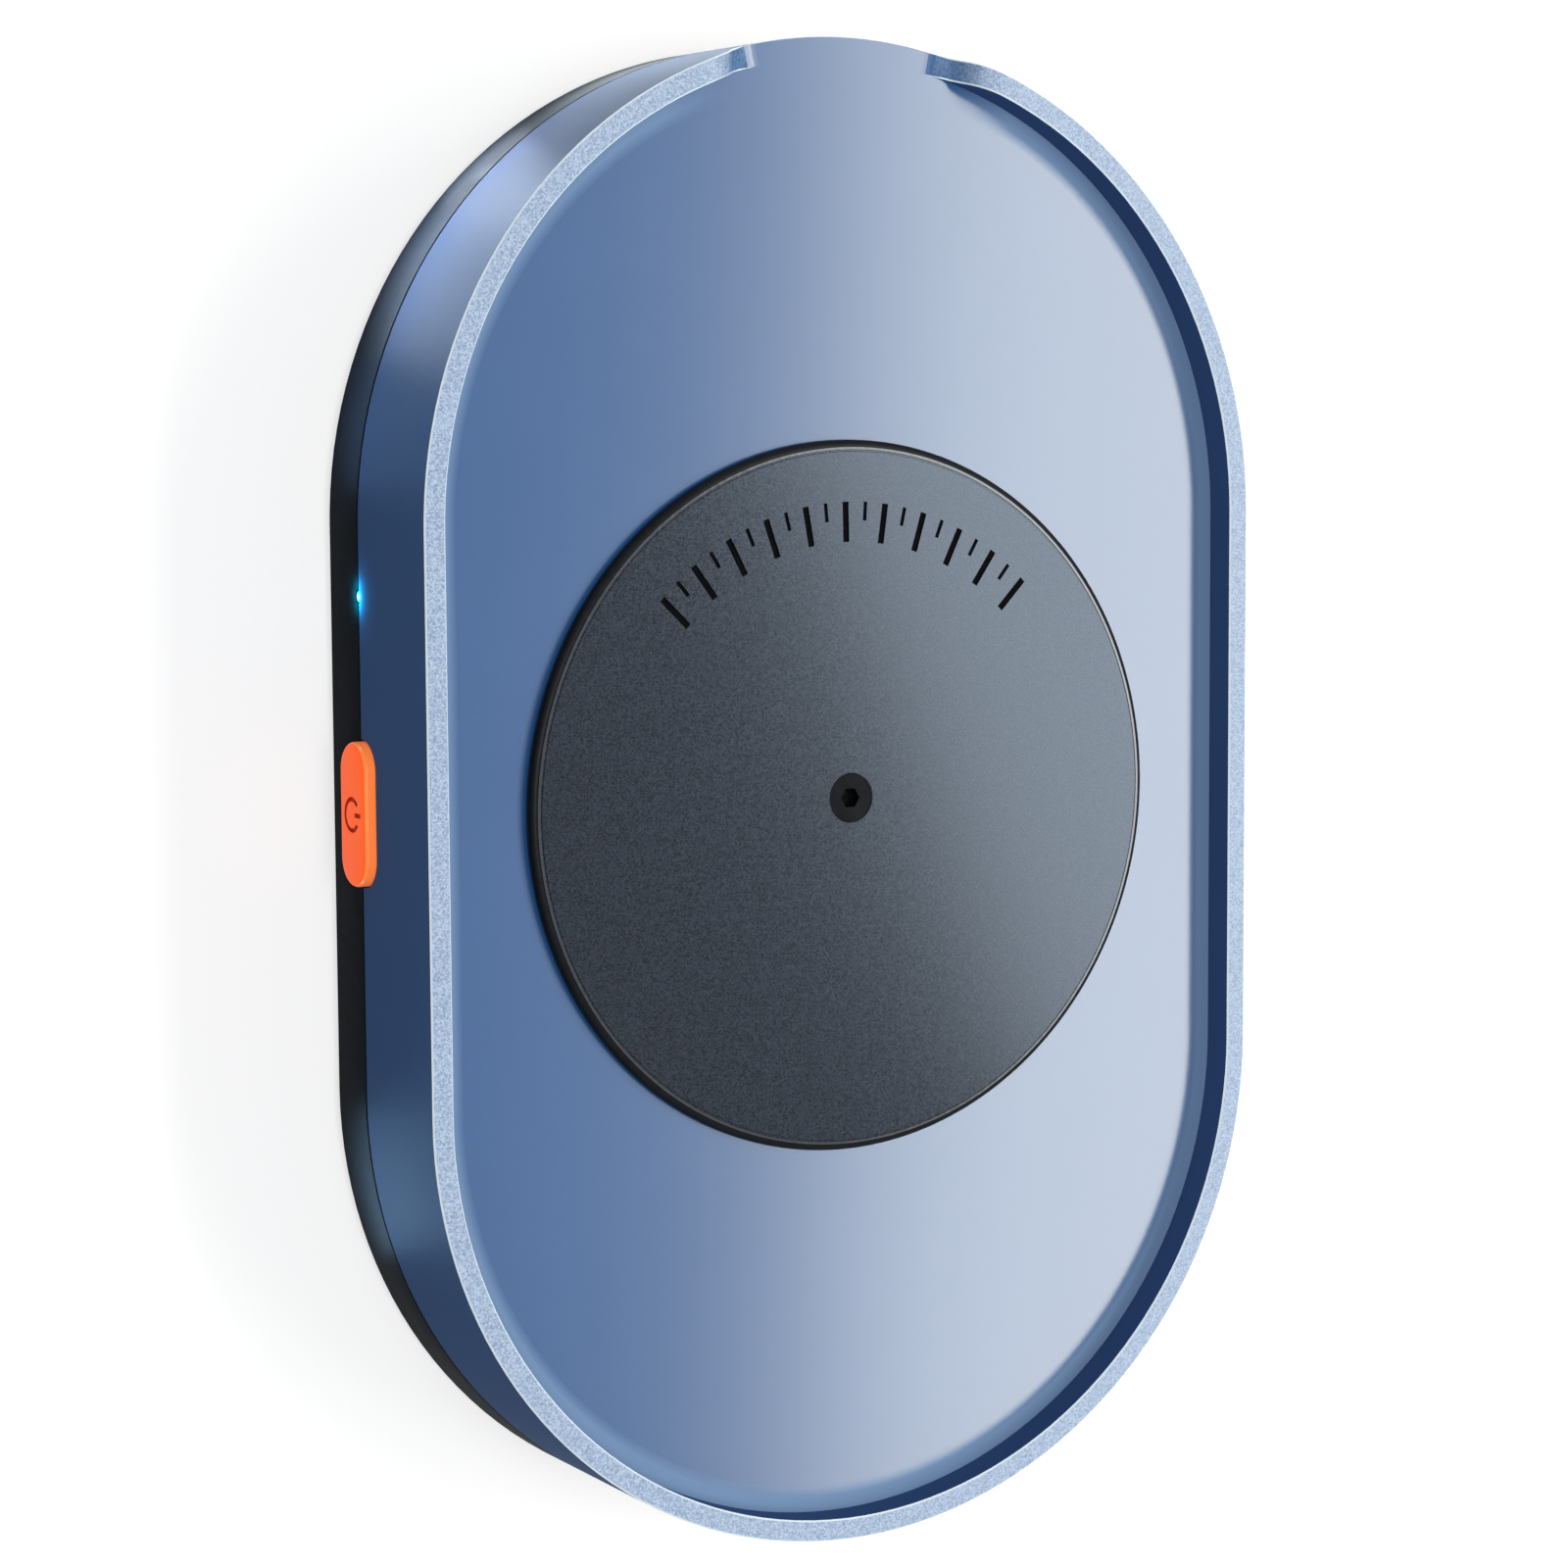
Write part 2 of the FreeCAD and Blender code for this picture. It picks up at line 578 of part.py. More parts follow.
def make_top_shell():
    """Machined aluminium shell: side wall, top plate with the tray and its rim, bosses."""
    body = new_body("top_shell")

    outside = new_sketch(body, level=SHELL_EDGE)
    draw_slot(outside, "0", "0", "(body_length / 2)", "(body_width / 2)", upright=True)
    add_pad(body, outside, f"{RIM_TOP} - {SHELL_EDGE}")

    tray = new_sketch(body, level=RIM_TOP)
    half_length = "(body_length / 2 - rim_width)"
    draw_slot(tray, "0", "0", half_length, "(body_width / 2 - rim_width)", upright=True)
    add_pocket(body, tray, "rim_height - face_height")

    well = new_sketch(body, level=FACE)
    draw_circle(well, "0", "0", "disc_hub_radius + well_clearance")
    add_pocket(body, well, "well_depth")

    inside = new_sketch(body, level=SHELL_EDGE)
    draw_slot(inside, "0", "0", "(body_length / 2 - wall)", SIDE_INNER, upright=True)
    add_pocket(body, inside, f"{PLATE_UNDER} - {SHELL_EDGE}", along_normal=True)

    steps = new_sketch(body, level=SHELL_EDGE)
    draw_lips(steps, f"({SIDE_INNER} - lip_thickness)", "lip_clearance")
    add_pocket(body, steps, "lip_height + lip_clearance", along_normal=True)

    case_screws = four_corners("case_screw_x", CASE_SCREW_Y)
    add_bosses(body, case_screws, "case_post_radius", SHELL_EDGE)
    add_bosses(body, [("0", "0")], "bush_boss_radius", BUSH_BOTTOM)
    add_bosses(body, [("0", f"(-{IDLER_DISTANCE})")], "axle_boss_radius", AXLE_BOSS_BOTTOM)
    add_bosses(body, motor_screw_places(), "motor_boss_radius", CAN_BOTTOM)

    thread = "small_screw_radius + press_clearance"
    bore_up(body, case_screws, thread, SHELL_EDGE, f"{PLATE_UNDER} - {SHELL_EDGE}")
    bush = [("0", "0")]
    bore_up(body, bush, "bush_radius + press_clearance", BUSH_BOTTOM, "bush_length")
    axle = [("0", f"(-{IDLER_DISTANCE})")]
    bore_up(body, axle, "axle_radius + press_clearance", AXLE_BOSS_BOTTOM, "axle_seat")
    radius = "motor_screw_radius + press_clearance"
    depth = "motor_screw_length - motor_flange + hole_reserve"
    bore_up(body, motor_screw_places(), radius, CAN_BOTTOM, depth)

    cut_wall_openings(body)

    gap = new_sketch(body, "XZ_Plane", f"-{STRAIGHT_END}")
    draw_rim_gap(gap)
    add_pocket(body, gap, "body_width / 2 + cut_margin")

    top = mm(RIM_TOP)
    shortest = 2 * mm("rim_width")
    edges = edges_at(body, lambda b: b.ZMin > top - TOUCH and b.DiagonalLength > shortest)
    add_chamfer(body, edges, "rim_chamfer")


def add_bosses(body, places, radius, bottom):
    """Round bosses that hang from the shell's plate down to the given level."""
    sketch = new_sketch(body, level=bottom)
    for x, y in places:
        draw_circle(sketch, x, y, radius)
    add_pad(body, sketch, f"{PLATE_UNDER} - {bottom}")


def bore_up(body, places, radius, bottom, depth):
    """Holes drilled upwards from the given level."""
    sketch = new_sketch(body, level=bottom)
    for x, y in places:
        draw_circle(sketch, x, y, radius)
    add_pocket(body, sketch, depth, along_normal=True)


def board_screw_places():
    """Plan positions of the two board screws: by the socket, and at the end of the arm."""
    corner = "(board_half_width - board_screw_inset)"
    arm_inner = f"(-{BOARD_SIDE} + board_arm - board_screw_inset)"
    return [
        (corner, f"({BOARD_SHOULDER} - board_screw_inset)"),
        (arm_inner, "(board_screw_inset - board_arm_reach)"),
    ]


def add_posts(body, places, radius, height):
    """Round posts that stand on the cover's floor."""
    sketch = new_sketch(body, level=FLOOR_TOP)
    for x, y in places:
        draw_circle(sketch, x, y, radius)
    add_pad(body, sketch, height)


def bore_down(body, places, radius, top, depth):
    """Holes drilled downwards from the given level."""
    sketch = new_sketch(body, level=top)
    for x, y in places:
        draw_circle(sketch, x, y, radius)
    add_pocket(body, sketch, depth)


def make_bottom_cover():
    """Moulded black cover: floor, low wall with two locating lips, posts and foot pockets."""
    body = new_body("bottom_cover")

    outside = new_sketch(body, level="foot_stand")
    draw_slot(outside, "0", "0", "(body_length / 2)", "(body_width / 2)", upright=True)
    add_pad(body, outside, "seam_height")
    low = mm("foot_stand")
    add_chamfer(body, edges_at(body, lambda b: b.ZMax < low + TOUCH), "cover_edge")

    inside = new_sketch(body, level=SEAM)
    draw_slot(inside, "0", "0", "(body_length / 2 - wall)", SIDE_INNER, upright=True)
    add_pocket(body, inside, "seam_height - floor_thickness")

    lips = new_sketch(body, level=SEAM)
    draw_lips(lips, SIDE_INNER, "0")
    add_pad(body, lips, "lip_height")

    case_screws = four_corners("case_screw_x", CASE_SCREW_Y)
    add_posts(body, case_screws, "case_post_radius", "seam_height - floor_thickness")
    add_posts(body, board_screw_places(), "board_post_radius", "board_post_height")
    axle = [("0", f"(-{IDLER_DISTANCE})")]
    add_posts(body, axle, "thrust_boss_radius", "thrust_boss_height")

    hole = "small_screw_radius + case_hole_clearance"
    bore_up(body, case_screws, hole, "foot_stand", "seam_height")
    head = "case_screw_head + case_hole_clearance"
    bore_up(body, case_screws, head, "foot_stand", "case_screw_pocket")
    thread = "board_screw_radius + press_clearance"
    depth = "board_screw_length - board_thickness + hole_reserve"
    bore_down(body, board_screw_places(), thread, BOARD_UNDER, depth)
    tip = "axle_radius + press_clearance"
    bore_down(body, axle, tip, THRUST_BOSS_TOP, "axle_tip_seat + axle_tip_play")
    feet = four_corners("foot_x", FOOT_Y)
    bore_up(body, feet, "foot_radius + foot_clearance", "foot_stand", "foot_pocket")

    cut_wall_openings(body)


def make_feet():
    foot = turned(
        "rubber_foot",
        [
            ("0", "0"),
            ("foot_radius", "0"),
            ("foot_radius", "foot_stand + foot_pocket"),
            ("0", "foot_stand + foot_pocket"),
        ],
    )
    copies("rubber_feet", foot, at_plan(four_corners("foot_x", FOOT_Y)))


def plain_screw(label, head, seat, head_height, radius, length, points_up):
    """A screw on the Z axis with a cylindrical head. seat is the level under its head."""
    sign, back = ("+", "-") if points_up else ("-", "+")
    top_of_head = f"{seat} {back} {head_height}"
    tip = f"{seat} {sign} {length}"
    profile = [("0", top_of_head), (head, top_of_head), (head, seat), (radius, seat)]
    return turned(label, profile + [(radius, tip), ("0", tip)])


def make_case_screws():
    seat = "(foot_stand + case_screw_pocket)"
    radius = "small_screw_radius"
    sizes = ("case_screw_head", seat, "case_screw_head_height", radius, "case_screw_length")
    screw = plain_screw("case_screw", *sizes, points_up=True)
    copies("case_screws", screw, at_plan(four_corners("case_screw_x", CASE_SCREW_Y)))


# ---------------------------------------------------------------------- circuit board


def make_circuit_board():
    body = new_body("circuit_board")
    outline = new_sketch(body, level=BOARD_UNDER)
    join = f"({BOARD_START} + board_join)"
    arm_inner = f"(-{BOARD_SIDE} + board_arm)"
    draw_outline(
        outline,
        [
            (f"(-{BOARD_SIDE})", "(-board_arm_reach)"),
            (arm_inner, "(-board_arm_reach)"),
            (arm_inner, BOARD_START),
            ("board_half_width", BOARD_START),
            ("board_half_width", BOARD_SHOULDER),
            ("board_nose", BOARD_SHOULDER),
            ("board_nose", BOARD_END),
            ("(-board_nose)", BOARD_END),
            ("(-board_nose)", BOARD_SHOULDER),
            ("(-board_half_width)", BOARD_SHOULDER),
            ("(-board_half_width)", join),
            (f"(-{BOARD_SIDE} + board_corner)", join),
            (f"(-{BOARD_SIDE})", STRAIGHT_END),
        ],
    )
    add_pad(body, outline, "board_thickness")
    hole = "board_screw_radius + press_clearance"
    bore_up(body, board_screw_places(), hole, BOARD_UNDER, "board_thickness")


def make_board_screws():
    sizes = (
        "board_screw_head",
        BOARD_TOP,
        "board_screw_head_height",
        "board_screw_radius",
        "board_screw_length",
    )
    screw = plain_screw("board_screw", *sizes, points_up=False)
    copies("board_screws", screw, at_plan(board_screw_places()))


def make_power_socket():
    """USB-C receptacle: a drawn steel shell with a closed back, and a moulded tongue."""
    mouth = "(body_length / 2 - usb_setback)"
    back = f"({mouth} - usb_length)"
    body = new_body("usb_c_socket")
    outside = new_sketch(body, "XZ_Plane", f"-{mouth}")
    draw_slot(outside, "0", USB_Z, "(usb_width / 2)", "(usb_height / 2)")
    add_pad(body, outside, "usb_length")
    inside = new_sketch(body, "XZ_Plane", f"-({back} + usb_wall)")
    radius = "(usb_height / 2 - usb_wall)"
    draw_slot(inside, "0", USB_Z, "(usb_width / 2 - usb_wall)", radius)
    add_pocket(body, inside, "usb_length")
    tongue = add_box(
        "Tongue",
        ("-tongue_width / 2", "tongue_width / 2"),
        (f"{back} + usb_wall", f"{back} + usb_wall + tongue_length"),
        (f"{USB_Z} - tongue_thickness / 2", f"{USB_Z} + tongue_thickness / 2"),
    )
    keep("usb_c_tongue", tongue)


def make_chips():
    """Two square packages on the board's main part."""
    half = "controller_side / 2"
    y = f"({BOARD_END} - controller_inset)"
    controller = add_box(
        "Controller",
        (f"controller_x - {half}", f"controller_x + {half}"),
        (f"{y} - {half}", f"{y} + {half}"),
        (BOARD_TOP, f"{BOARD_TOP} + controller_height"),
    )
    keep("controller_chip", controller)
    y = f"({BOARD_END} - driver_inset)"
    driver = add_box(
        "Driver",
        ("driver_x - driver_length / 2", "driver_x + driver_length / 2"),
        (f"{y} - driver_width / 2", f"{y} + driver_width / 2"),
        (BOARD_TOP, f"{BOARD_TOP} + driver_height"),
    )
    keep("motor_driver_chip", driver)


# ------------------------------------------------------------- button and status light


def make_power_button():
    """Orange cap with a chamfered front edge and a flange that holds it behind the wall."""
    body = new_body("power_button")
    front = "(body_width / 2 + button_proud)"
    cap = new_sketch(body, "YZ_Plane", f"-{front}")
    radius = "(button_height / 2)"
    draw_slot(cap, "0", BUTTON_Z, "(button_length / 2)", radius)
    add_pad(body, cap, f"{front} - {FLANGE_BACK}")
    face = -mm(front)
    add_chamfer(body, edges_at(body, lambda b: b.XMax < face + TOUCH), "button_edge")
    flange = new_sketch(body, "YZ_Plane", f"-({FLANGE_BACK} + button_flange_thickness)")
    half_length = "(button_length / 2 + button_flange)"
    draw_slot(flange, "0", BUTTON_Z, half_length, "(button_height / 2 + button_flange / 2)")
    add_pad(body, flange, "button_flange_thickness")


def make_switch():
    """Side-pushed switch on the board, and its plunger."""
    body = new_body("tact_switch")
    block = new_sketch(body, level=BOARD_TOP)
    back = f"({SWITCH_FRONT} - switch_depth)"
    sides = ("-switch_width / 2", "switch_width / 2")
    draw_rectangle(block, f"-{SWITCH_FRONT}", f"-{back}", *sides)
    add_pad(body, block, f"{BUTTON_Z} + switch_rise - {BOARD_TOP}")
    depth = "(plunger_seat + button_travel + plunger_clearance)"
    slot = new_sketch(body, "YZ_Plane", f"-({SWITCH_FRONT} - {depth})")
    half_width = "(plunger_width / 2 + plunger_clearance)"
    half_height = "(plunger_height / 2 + plunger_clearance)"
    levels = (f"{BUTTON_Z} - {half_height}", f"{BUTTON_Z} + {half_height}")
    draw_rectangle(slot, f"-{half_width}", half_width, *levels)
    add_pocket(body, slot, depth)
    plunger = add_box(
        "Plunger",
        (f"-({FLANGE_BACK} - plunger_gap)", f"-({SWITCH_FRONT} - plunger_seat)"),
        ("-plunger_width / 2", "plunger_width / 2"),
        (f"{BUTTON_Z} - plunger_height / 2", f"{BUTTON_Z} + plunger_height / 2"),
    )
    keep("switch_plunger", plunger)


def make_status_light():
    """A light on the board and a clear pipe that brings it to the seam."""
    led_front = f"(-{BOARD_SIDE} + led_inset)"
    led = add_box(
        "Led",
        (led_front, f"{led_front} + led_depth"),
        ("pipe_y - led_length / 2", "pipe_y + led_length / 2"),
        (BOARD_TOP, f"{BOARD_TOP} + led_height"),
    )
    keep("status_led", led)
    rod = doc.addObject("Part::Cylinder", "PipeRod")
    rod.Placement = Placement(Vector(), Rotation(Vector(0, 1, 0), 90))
    rod_end = f"(-{SIDE_INNER} + pipe_block_gap)"
    bind(rod, Radius="pipe_radius", Height=f"{rod_end} + body_width / 2")
    place(rod, "-body_width / 2", "pipe_y", PIPE_Z)
    block = add_box(
        "PipeBlock",
        (rod_end, led_front),
        ("pipe_y - pipe_block_width / 2", "pipe_y + pipe_block_width / 2"),
        (BOARD_TOP, f"{PIPE_Z} + pipe_block_top"),
    )
    keep("light_pipe", combine("MultiFuse", "LightPipe", [rod, block]))


# ------------------------------------------------------------------------------ gears


def involute(angle):
    return math.tan(angle) - angle


def straight(points):
    """Line edges from each point to the next."""
    return [Part.LineSegment(*pair).toShape() for pair in zip(points, points[1:])]


def gear_face(teeth, shift, turn):
    """A spur gear's outline as a face. One tooth points along the angle turn, in degrees."""
    module = mm("gear_module")
    pressure = math.radians(mm("pressure_angle"))
    pitch_radius = module * teeth / 2
    base_radius = pitch_radius * math.cos(pressure)
    tip_radius = pitch_radius + module * (1 + shift)
    root_radius = pitch_radius - module * (1.25 - shift)
    arc_thickness = module * (math.pi / 2 + 2 * shift * math.tan(pressure)) - mm("backlash") / 2
    half_at_pitch = arc_thickness / (2 * pitch_radius)

    def half_angle(radius):
        """Half the tooth's angle at a radius on the involute."""
        at_radius = math.acos(min(1.0, base_radius / radius))
        return half_at_pitch + involute(pressure) - involute(at_radius)

    def point(radius, angle):
        return Vector(radius * math.cos(angle), radius * math.sin(angle), 0)

    def roll(radius):
        """How far the involute has turned at a radius."""
        return math.sqrt((radius / base_radius) ** 2 - 1)

    flank_start = max(base_radius, root_radius)
    radii = (flank_start, (flank_start + tip_radius) / 2, tip_radius)
    has_neck = base_radius > root_radius
    is_flat = roll(tip_radius) - roll(flank_start) < FLAT_FLANK
    root_half = half_angle(flank_start)
    pitch_angle = 2 * math.pi / teeth
    edges = []
    for tooth in range(teeth):
        middle = math.radians(turn) + tooth * pitch_angle
        rising = [point(radius, middle - half_angle(radius)) for radius in radii]
        falling = [point(radius, middle + half_angle(radius)) for radius in reversed(radii)]
        foot = point(root_radius, middle - root_half)
        heel = point(root_radius, middle + root_half)
        next_foot = point(root_radius, middle + pitch_angle - root_half)
        if has_neck:
            edges += straight([foot, rising[0]])
        edges += straight(rising) if is_flat else [Part.Arc(*rising).toShape()]
        edges += straight([rising[-1], falling[0]])
        edges += straight(falling) if is_flat else [Part.Arc(*falling).toShape()]
        if has_neck:
            edges += straight([falling[-1], heel])
        edges += straight([heel, next_foot])
    return Part.Face(Part.Wire(edges))


def add_toothing(name, teeth, shift, turn, level, x="0", y="0"):
    """A toothed disc of the common face width, standing on the given level."""
    outline = doc.addObject("Part::Feature", name + "Outline")
    outline.Shape = gear_face(int(mm(teeth)), shift, turn)
    place(outline, x, y, level)
    disc = doc.addObject("Part::Extrusion", name)
    disc.Base = outline
    disc.DirMode = "Custom"
    disc.Dir = Vector(0, 0, 1)
    disc.Solid = True
    bind(disc, LengthFwd="gear_width")
    return disc


def double_d(name, radius, flat, low, high):
    """A round bar with two flats, on the Z axis."""
    bar = add_cylinder(name + "Bar", radius, low, high)
    slab = add_box(name + "Slab", (f"-({radius})", radius), (f"-({flat})", flat), (low, high))
    return combine("MultiCommon", name, [bar, slab])


def make_turntable_gear():
    """Acetal gear with a hub keyed to the spindle."""
    toothing = add_toothing("TableTeeth", "table_teeth", -mm("profile_shift"), -90, TABLE_GEAR_BOTTOM)
    hub = add_cylinder("TableHub", "table_hub_radius", TABLE_GEAR_BOTTOM, HUB_TOP)
    solid = combine("MultiFuse", "TableSolid", [toothing, hub])
    radius = "(spindle_end_radius + press_clearance)"
    flat = "(spindle_flat + press_clearance)"
    bore = double_d("TableBore", radius, flat, TABLE_GEAR_BOTTOM, HUB_TOP)
    keep("turntable_gear", cut("TableGear", solid, bore))


def make_idler():
    """Compound gear on a steel axle between the shell's boss and the cover's boss."""
    y = f"(-{IDLER_DISTANCE})"
    shift = mm("profile_shift")
    to_motor = mm("motor_turn") - 90
    wheel = add_toothing("Wheel", "wheel_teeth", -shift, to_motor, WHEEL_BOTTOM, "0", y)
    to_table = 90 + 180 / mm("small_teeth")
    small = add_toothing("Small", "small_teeth", shift, to_table, TABLE_GEAR_BOTTOM, "0", y)
    root = "(gear_module * (small_teeth / 2 - 1.25 + profile_shift))"
    neck = add_cylinder("IdlerNeck", root, WHEEL_TOP, IDLER_TOP, "0", y)
    solid = combine("MultiFuse", "IdlerSolid", [wheel, small, neck])
    bore = "axle_radius + running_clearance"
    hole = add_cylinder("IdlerBore", bore, WHEEL_BOTTOM, IDLER_TOP, "0", y)
    keep("idler_gear", cut("Idler", solid, hole))
    low = f"({THRUST_BOSS_TOP} - axle_tip_seat)"
    high = f"({AXLE_BOSS_BOTTOM} + axle_seat)"
    keep("idler_axle", add_cylinder("Axle", "axle_radius", low, high, "0", y))


# ------------------------------------------------------------------------------ motor


def make_motor():
    """Can stepper motor, shaft down, with a two-eared flange screwed to the shell."""
    x, y = motor_place()
    body = new_body("motor_can")
    flange = new_sketch(body, level=MOTOR_BOTTOM)
    draw_slot(flange, "0", "0", "(motor_ear + motor_ear_radius)", "motor_ear_radius")
    add_pad(body, flange, "motor_flange")
    can = new_sketch(body, level=MOTOR_BOTTOM)
    draw_circle(can, "0", "0", "motor_radius")
    add_pad(body, can, f"{CAN_TOP} - {MOTOR_BOTTOM}")
    top = mm(CAN_TOP)
    add_chamfer(body, edges_at(body, lambda b: b.ZMin > top - TOUCH), "motor_edge")
    ears = [("motor_ear", "0"), ("(-motor_ear)", "0")]
    bore_up(body, ears, "motor_screw_radius + press_clearance", MOTOR_BOTTOM, "motor_flange")
    bore = "shaft_radius + running_clearance"
    reach = "motor_flange + shaft_reach + thrust_gap"
    bore_up(body, [("0", "0")], bore, MOTOR_BOTTOM, reach)
    body.setExpression("Placement.Rotation.Angle", bound("motor_clock"))
    place(body, x, y)

    gap = "(motor_radius + press_clearance)"
    terminal = new_body("motor_terminal")
    block = new_sketch(terminal, level=CAN_BOTTOM)
    sides = ("-terminal_width / 2", "terminal_width / 2")
    draw_rectangle(block, *sides, f"-({gap} + terminal_depth)", "-(motor_radius - cut_margin)")
    add_pad(terminal, block, "terminal_height")
    around = new_sketch(terminal, level=CAN_BOTTOM)
    draw_circle(around, "0", "0", gap)
    add_pocket(terminal, around, "terminal_height", along_normal=True)
    terminal.setExpression("Placement.Rotation.Angle", bound("motor_clock"))
    place(terminal, x, y)

    sizes = (
        "motor_screw_head",
        MOTOR_BOTTOM,
        "motor_screw_head_height",
        "motor_screw_radius",
        "motor_screw_length",
    )
    screw = plain_screw("motor_screw", *sizes, points_up=True)
    copies("motor_screws", screw, at_plan(motor_screw_places()))


def make_pinion():
    """Brass pinion pressed on the motor's steel shaft."""
    x, y = motor_place()
    turn = mm("motor_turn") + 90 + 180 / mm("pinion_teeth")
    shift = mm("profile_shift")
    toothing = add_toothing("PinionTeeth", "pinion_teeth", shift, turn, WHEEL_BOTTOM, x, y)
    bore = "shaft_radius + press_clearance"
    hole = add_cylinder("PinionBore", bore, WHEEL_BOTTOM, WHEEL_TOP, x, y)
    keep("motor_pinion", cut("Pinion", toothing, hole))
    shaft_end = f"({CAN_BOTTOM} + shaft_reach)"
    keep("motor_shaft", add_cylinder("Shaft", "shaft_radius", WHEEL_BOTTOM, shaft_end, x, y))


def make_header_and_leads():
    """Board connector, and the flat lead from the motor that runs on edge to it."""
    x_high = "board_half_width"
    y = f"({BOARD_END} - header_inset)"
    header = add_box(
        "Header",
        (f"{x_high} - header_depth", x_high),
        (f"{y} - header_width / 2", f"{y} + header_width / 2"),
        (BOARD_TOP, f"{BOARD_TOP} + header_height"),
    )
    keep("motor_header", header)

    motor_x, motor_y = motor_place()
    reach = "(motor_radius + press_clearance + terminal_depth)"
    start = Vector(
        mm(f"{motor_x} + {reach} * sin(motor_clock)"),
        mm(f"{motor_y} - {reach} * cos(motor_clock)"),
        0,
    )
    run_x = mm(f"{SIDE_INNER} - lead_wall_gap")
    clock = math.radians(mm("motor_clock"))
    leaving = Vector(math.sin(clock), -math.cos(clock), 0)
    corner = start + leaving * ((run_x - start.x) / leaving.x)
    end = Vector(mm(x_high), mm(y), 0)
    route = [start, corner, Vector(run_x, end.y, 0), end]
    leads = doc.addObject("Part::Feature", "Leads")
    leads.Shape = flat_lead(route, mm("lead_bend"), mm("lead_thickness"), mm("lead_height"))
    place(leads, z=f"{CAN_BOTTOM} + (terminal_height - lead_height) / 2")
    keep("motor_leads", leads)


def flat_lead(route, bend, thickness, height):
    """A flat lead on edge along the route in plan, with its corners rounded."""
    edges = []
    point = route[0]
    for corner, after in zip(route[1:-1], route[2:]):
        arriving = (corner - point).normalize()
        leaving = (after - corner).normalize()
        cut_back = bend * math.tan(arriving.getAngle(leaving) / 2)
        first = corner - arriving * cut_back
        last = corner + leaving * cut_back
        inward = (leaving - arriving).normalize()
        depth = math.hypot(bend, cut_back) - bend
        edges.append(Part.LineSegment(point, first).toShape())
        edges.append(Part.Arc(first, corner + inward * depth, last).toShape())
        point = last
    edges.append(Part.LineSegment(point, route[-1]).toShape())
    along = (route[1] - route[0]).normalize()
    across = Vector(-along.y, along.x, 0) * (thickness / 2)
    up = Vector(0, 0, height)
    corners = [route[0] + across, route[0] - across, route[0] - across + up, route[0] + across + up]
    section = Part.makePolygon(corners + corners[:1])
    return Part.Wire(edges).makePipeShell([section], True, False)


# -------------------------------------------------------------------------- turntable


def make_bush_and_washer():
    bore = "spindle_radius + running_clearance"
    flange_top = f"({WELL_FLOOR} + bush_flange_thickness)"
    turned(
        "spindle_bush",
        [
            (bore, BUSH_BOTTOM),
            ("bush_radius", BUSH_BOTTOM),
            ("bush_radius", WELL_FLOOR),
            ("bush_flange_radius", WELL_FLOOR),
            ("bush_flange_radius", flange_top),
            (bore, flange_top),
        ],
    )
    turned(
        "thrust_washer",
        [
            (bore, flange_top),
            ("washer_radius", flange_top),
            ("washer_radius", f"{flange_top} + washer_thickness"),
            (bore, f"{flange_top} + washer_thickness"),
        ],
    )


def make_spindle():
    """Turned steel spindle: keyed at both ends, grooved for the clip, tapped on top."""
    low = f"({CLIP_TOP} - clip_thickness - clip_tail)"
    shoulder = HUB_TOP
    groove_low = f"({CLIP_TOP} - clip_thickness - press_clearance)"
    groove_high = f"({CLIP_TOP} + press_clearance)"
    groove = "(spindle_end_radius - clip_groove)"
    tapped = "(small_screw_radius + press_clearance)"
    top = f"({DISC_UNDER} + tenon_height)"
    hole_bottom = f"({DISC_TOP} - disc_screw_sink - disc_screw_length - hole_reserve)"
    body = turned(
        "turntable_spindle",
        [
            ("0", low),
            ("spindle_end_radius", low),
            ("spindle_end_radius", groove_low),
            (groove, groove_low),
            (groove, groove_high),
            ("spindle_end_radius", groove_high),
            ("spindle_end_radius", shoulder),
            ("spindle_radius", shoulder),
            ("spindle_radius", DISC_UNDER),
            ("spindle_end_radius", DISC_UNDER),
            ("spindle_end_radius", top),
            (tapped, top),
            (tapped, hole_bottom),
            ("0", hole_bottom),
        ],
    )
    for level, length in ((low, f"{shoulder} - {low}"), (DISC_UNDER, "tenon_height")):
        flats = new_sketch(body, level=level)
        reach = "(spindle_radius + cut_margin)"
        draw_rectangle(flats, f"-{reach}", reach, "spindle_flat", reach)
        draw_rectangle(flats, f"-{reach}", reach, f"-{reach}", "-spindle_flat")
        add_pocket(body, flats, length, along_normal=True)


def make_clip():
    """Open retaining ring in the spindle's groove."""
    low = f"{CLIP_TOP} - clip_thickness"
    inner = "(spindle_end_radius - clip_groove + press_clearance)"
    ring = add_cylinder("ClipRing", "clip_radius", low, CLIP_TOP)
    hole = add_cylinder("ClipHole", inner, low, CLIP_TOP)
    reach = "clip_radius + cut_margin"
    mouth = add_box("ClipMouth", (f"-{inner}", inner), ("0", reach), (low, CLIP_TOP))
    keep("spindle_clip", cut("Clip", ring, combine("MultiFuse", "ClipTools", [hole, mouth])))


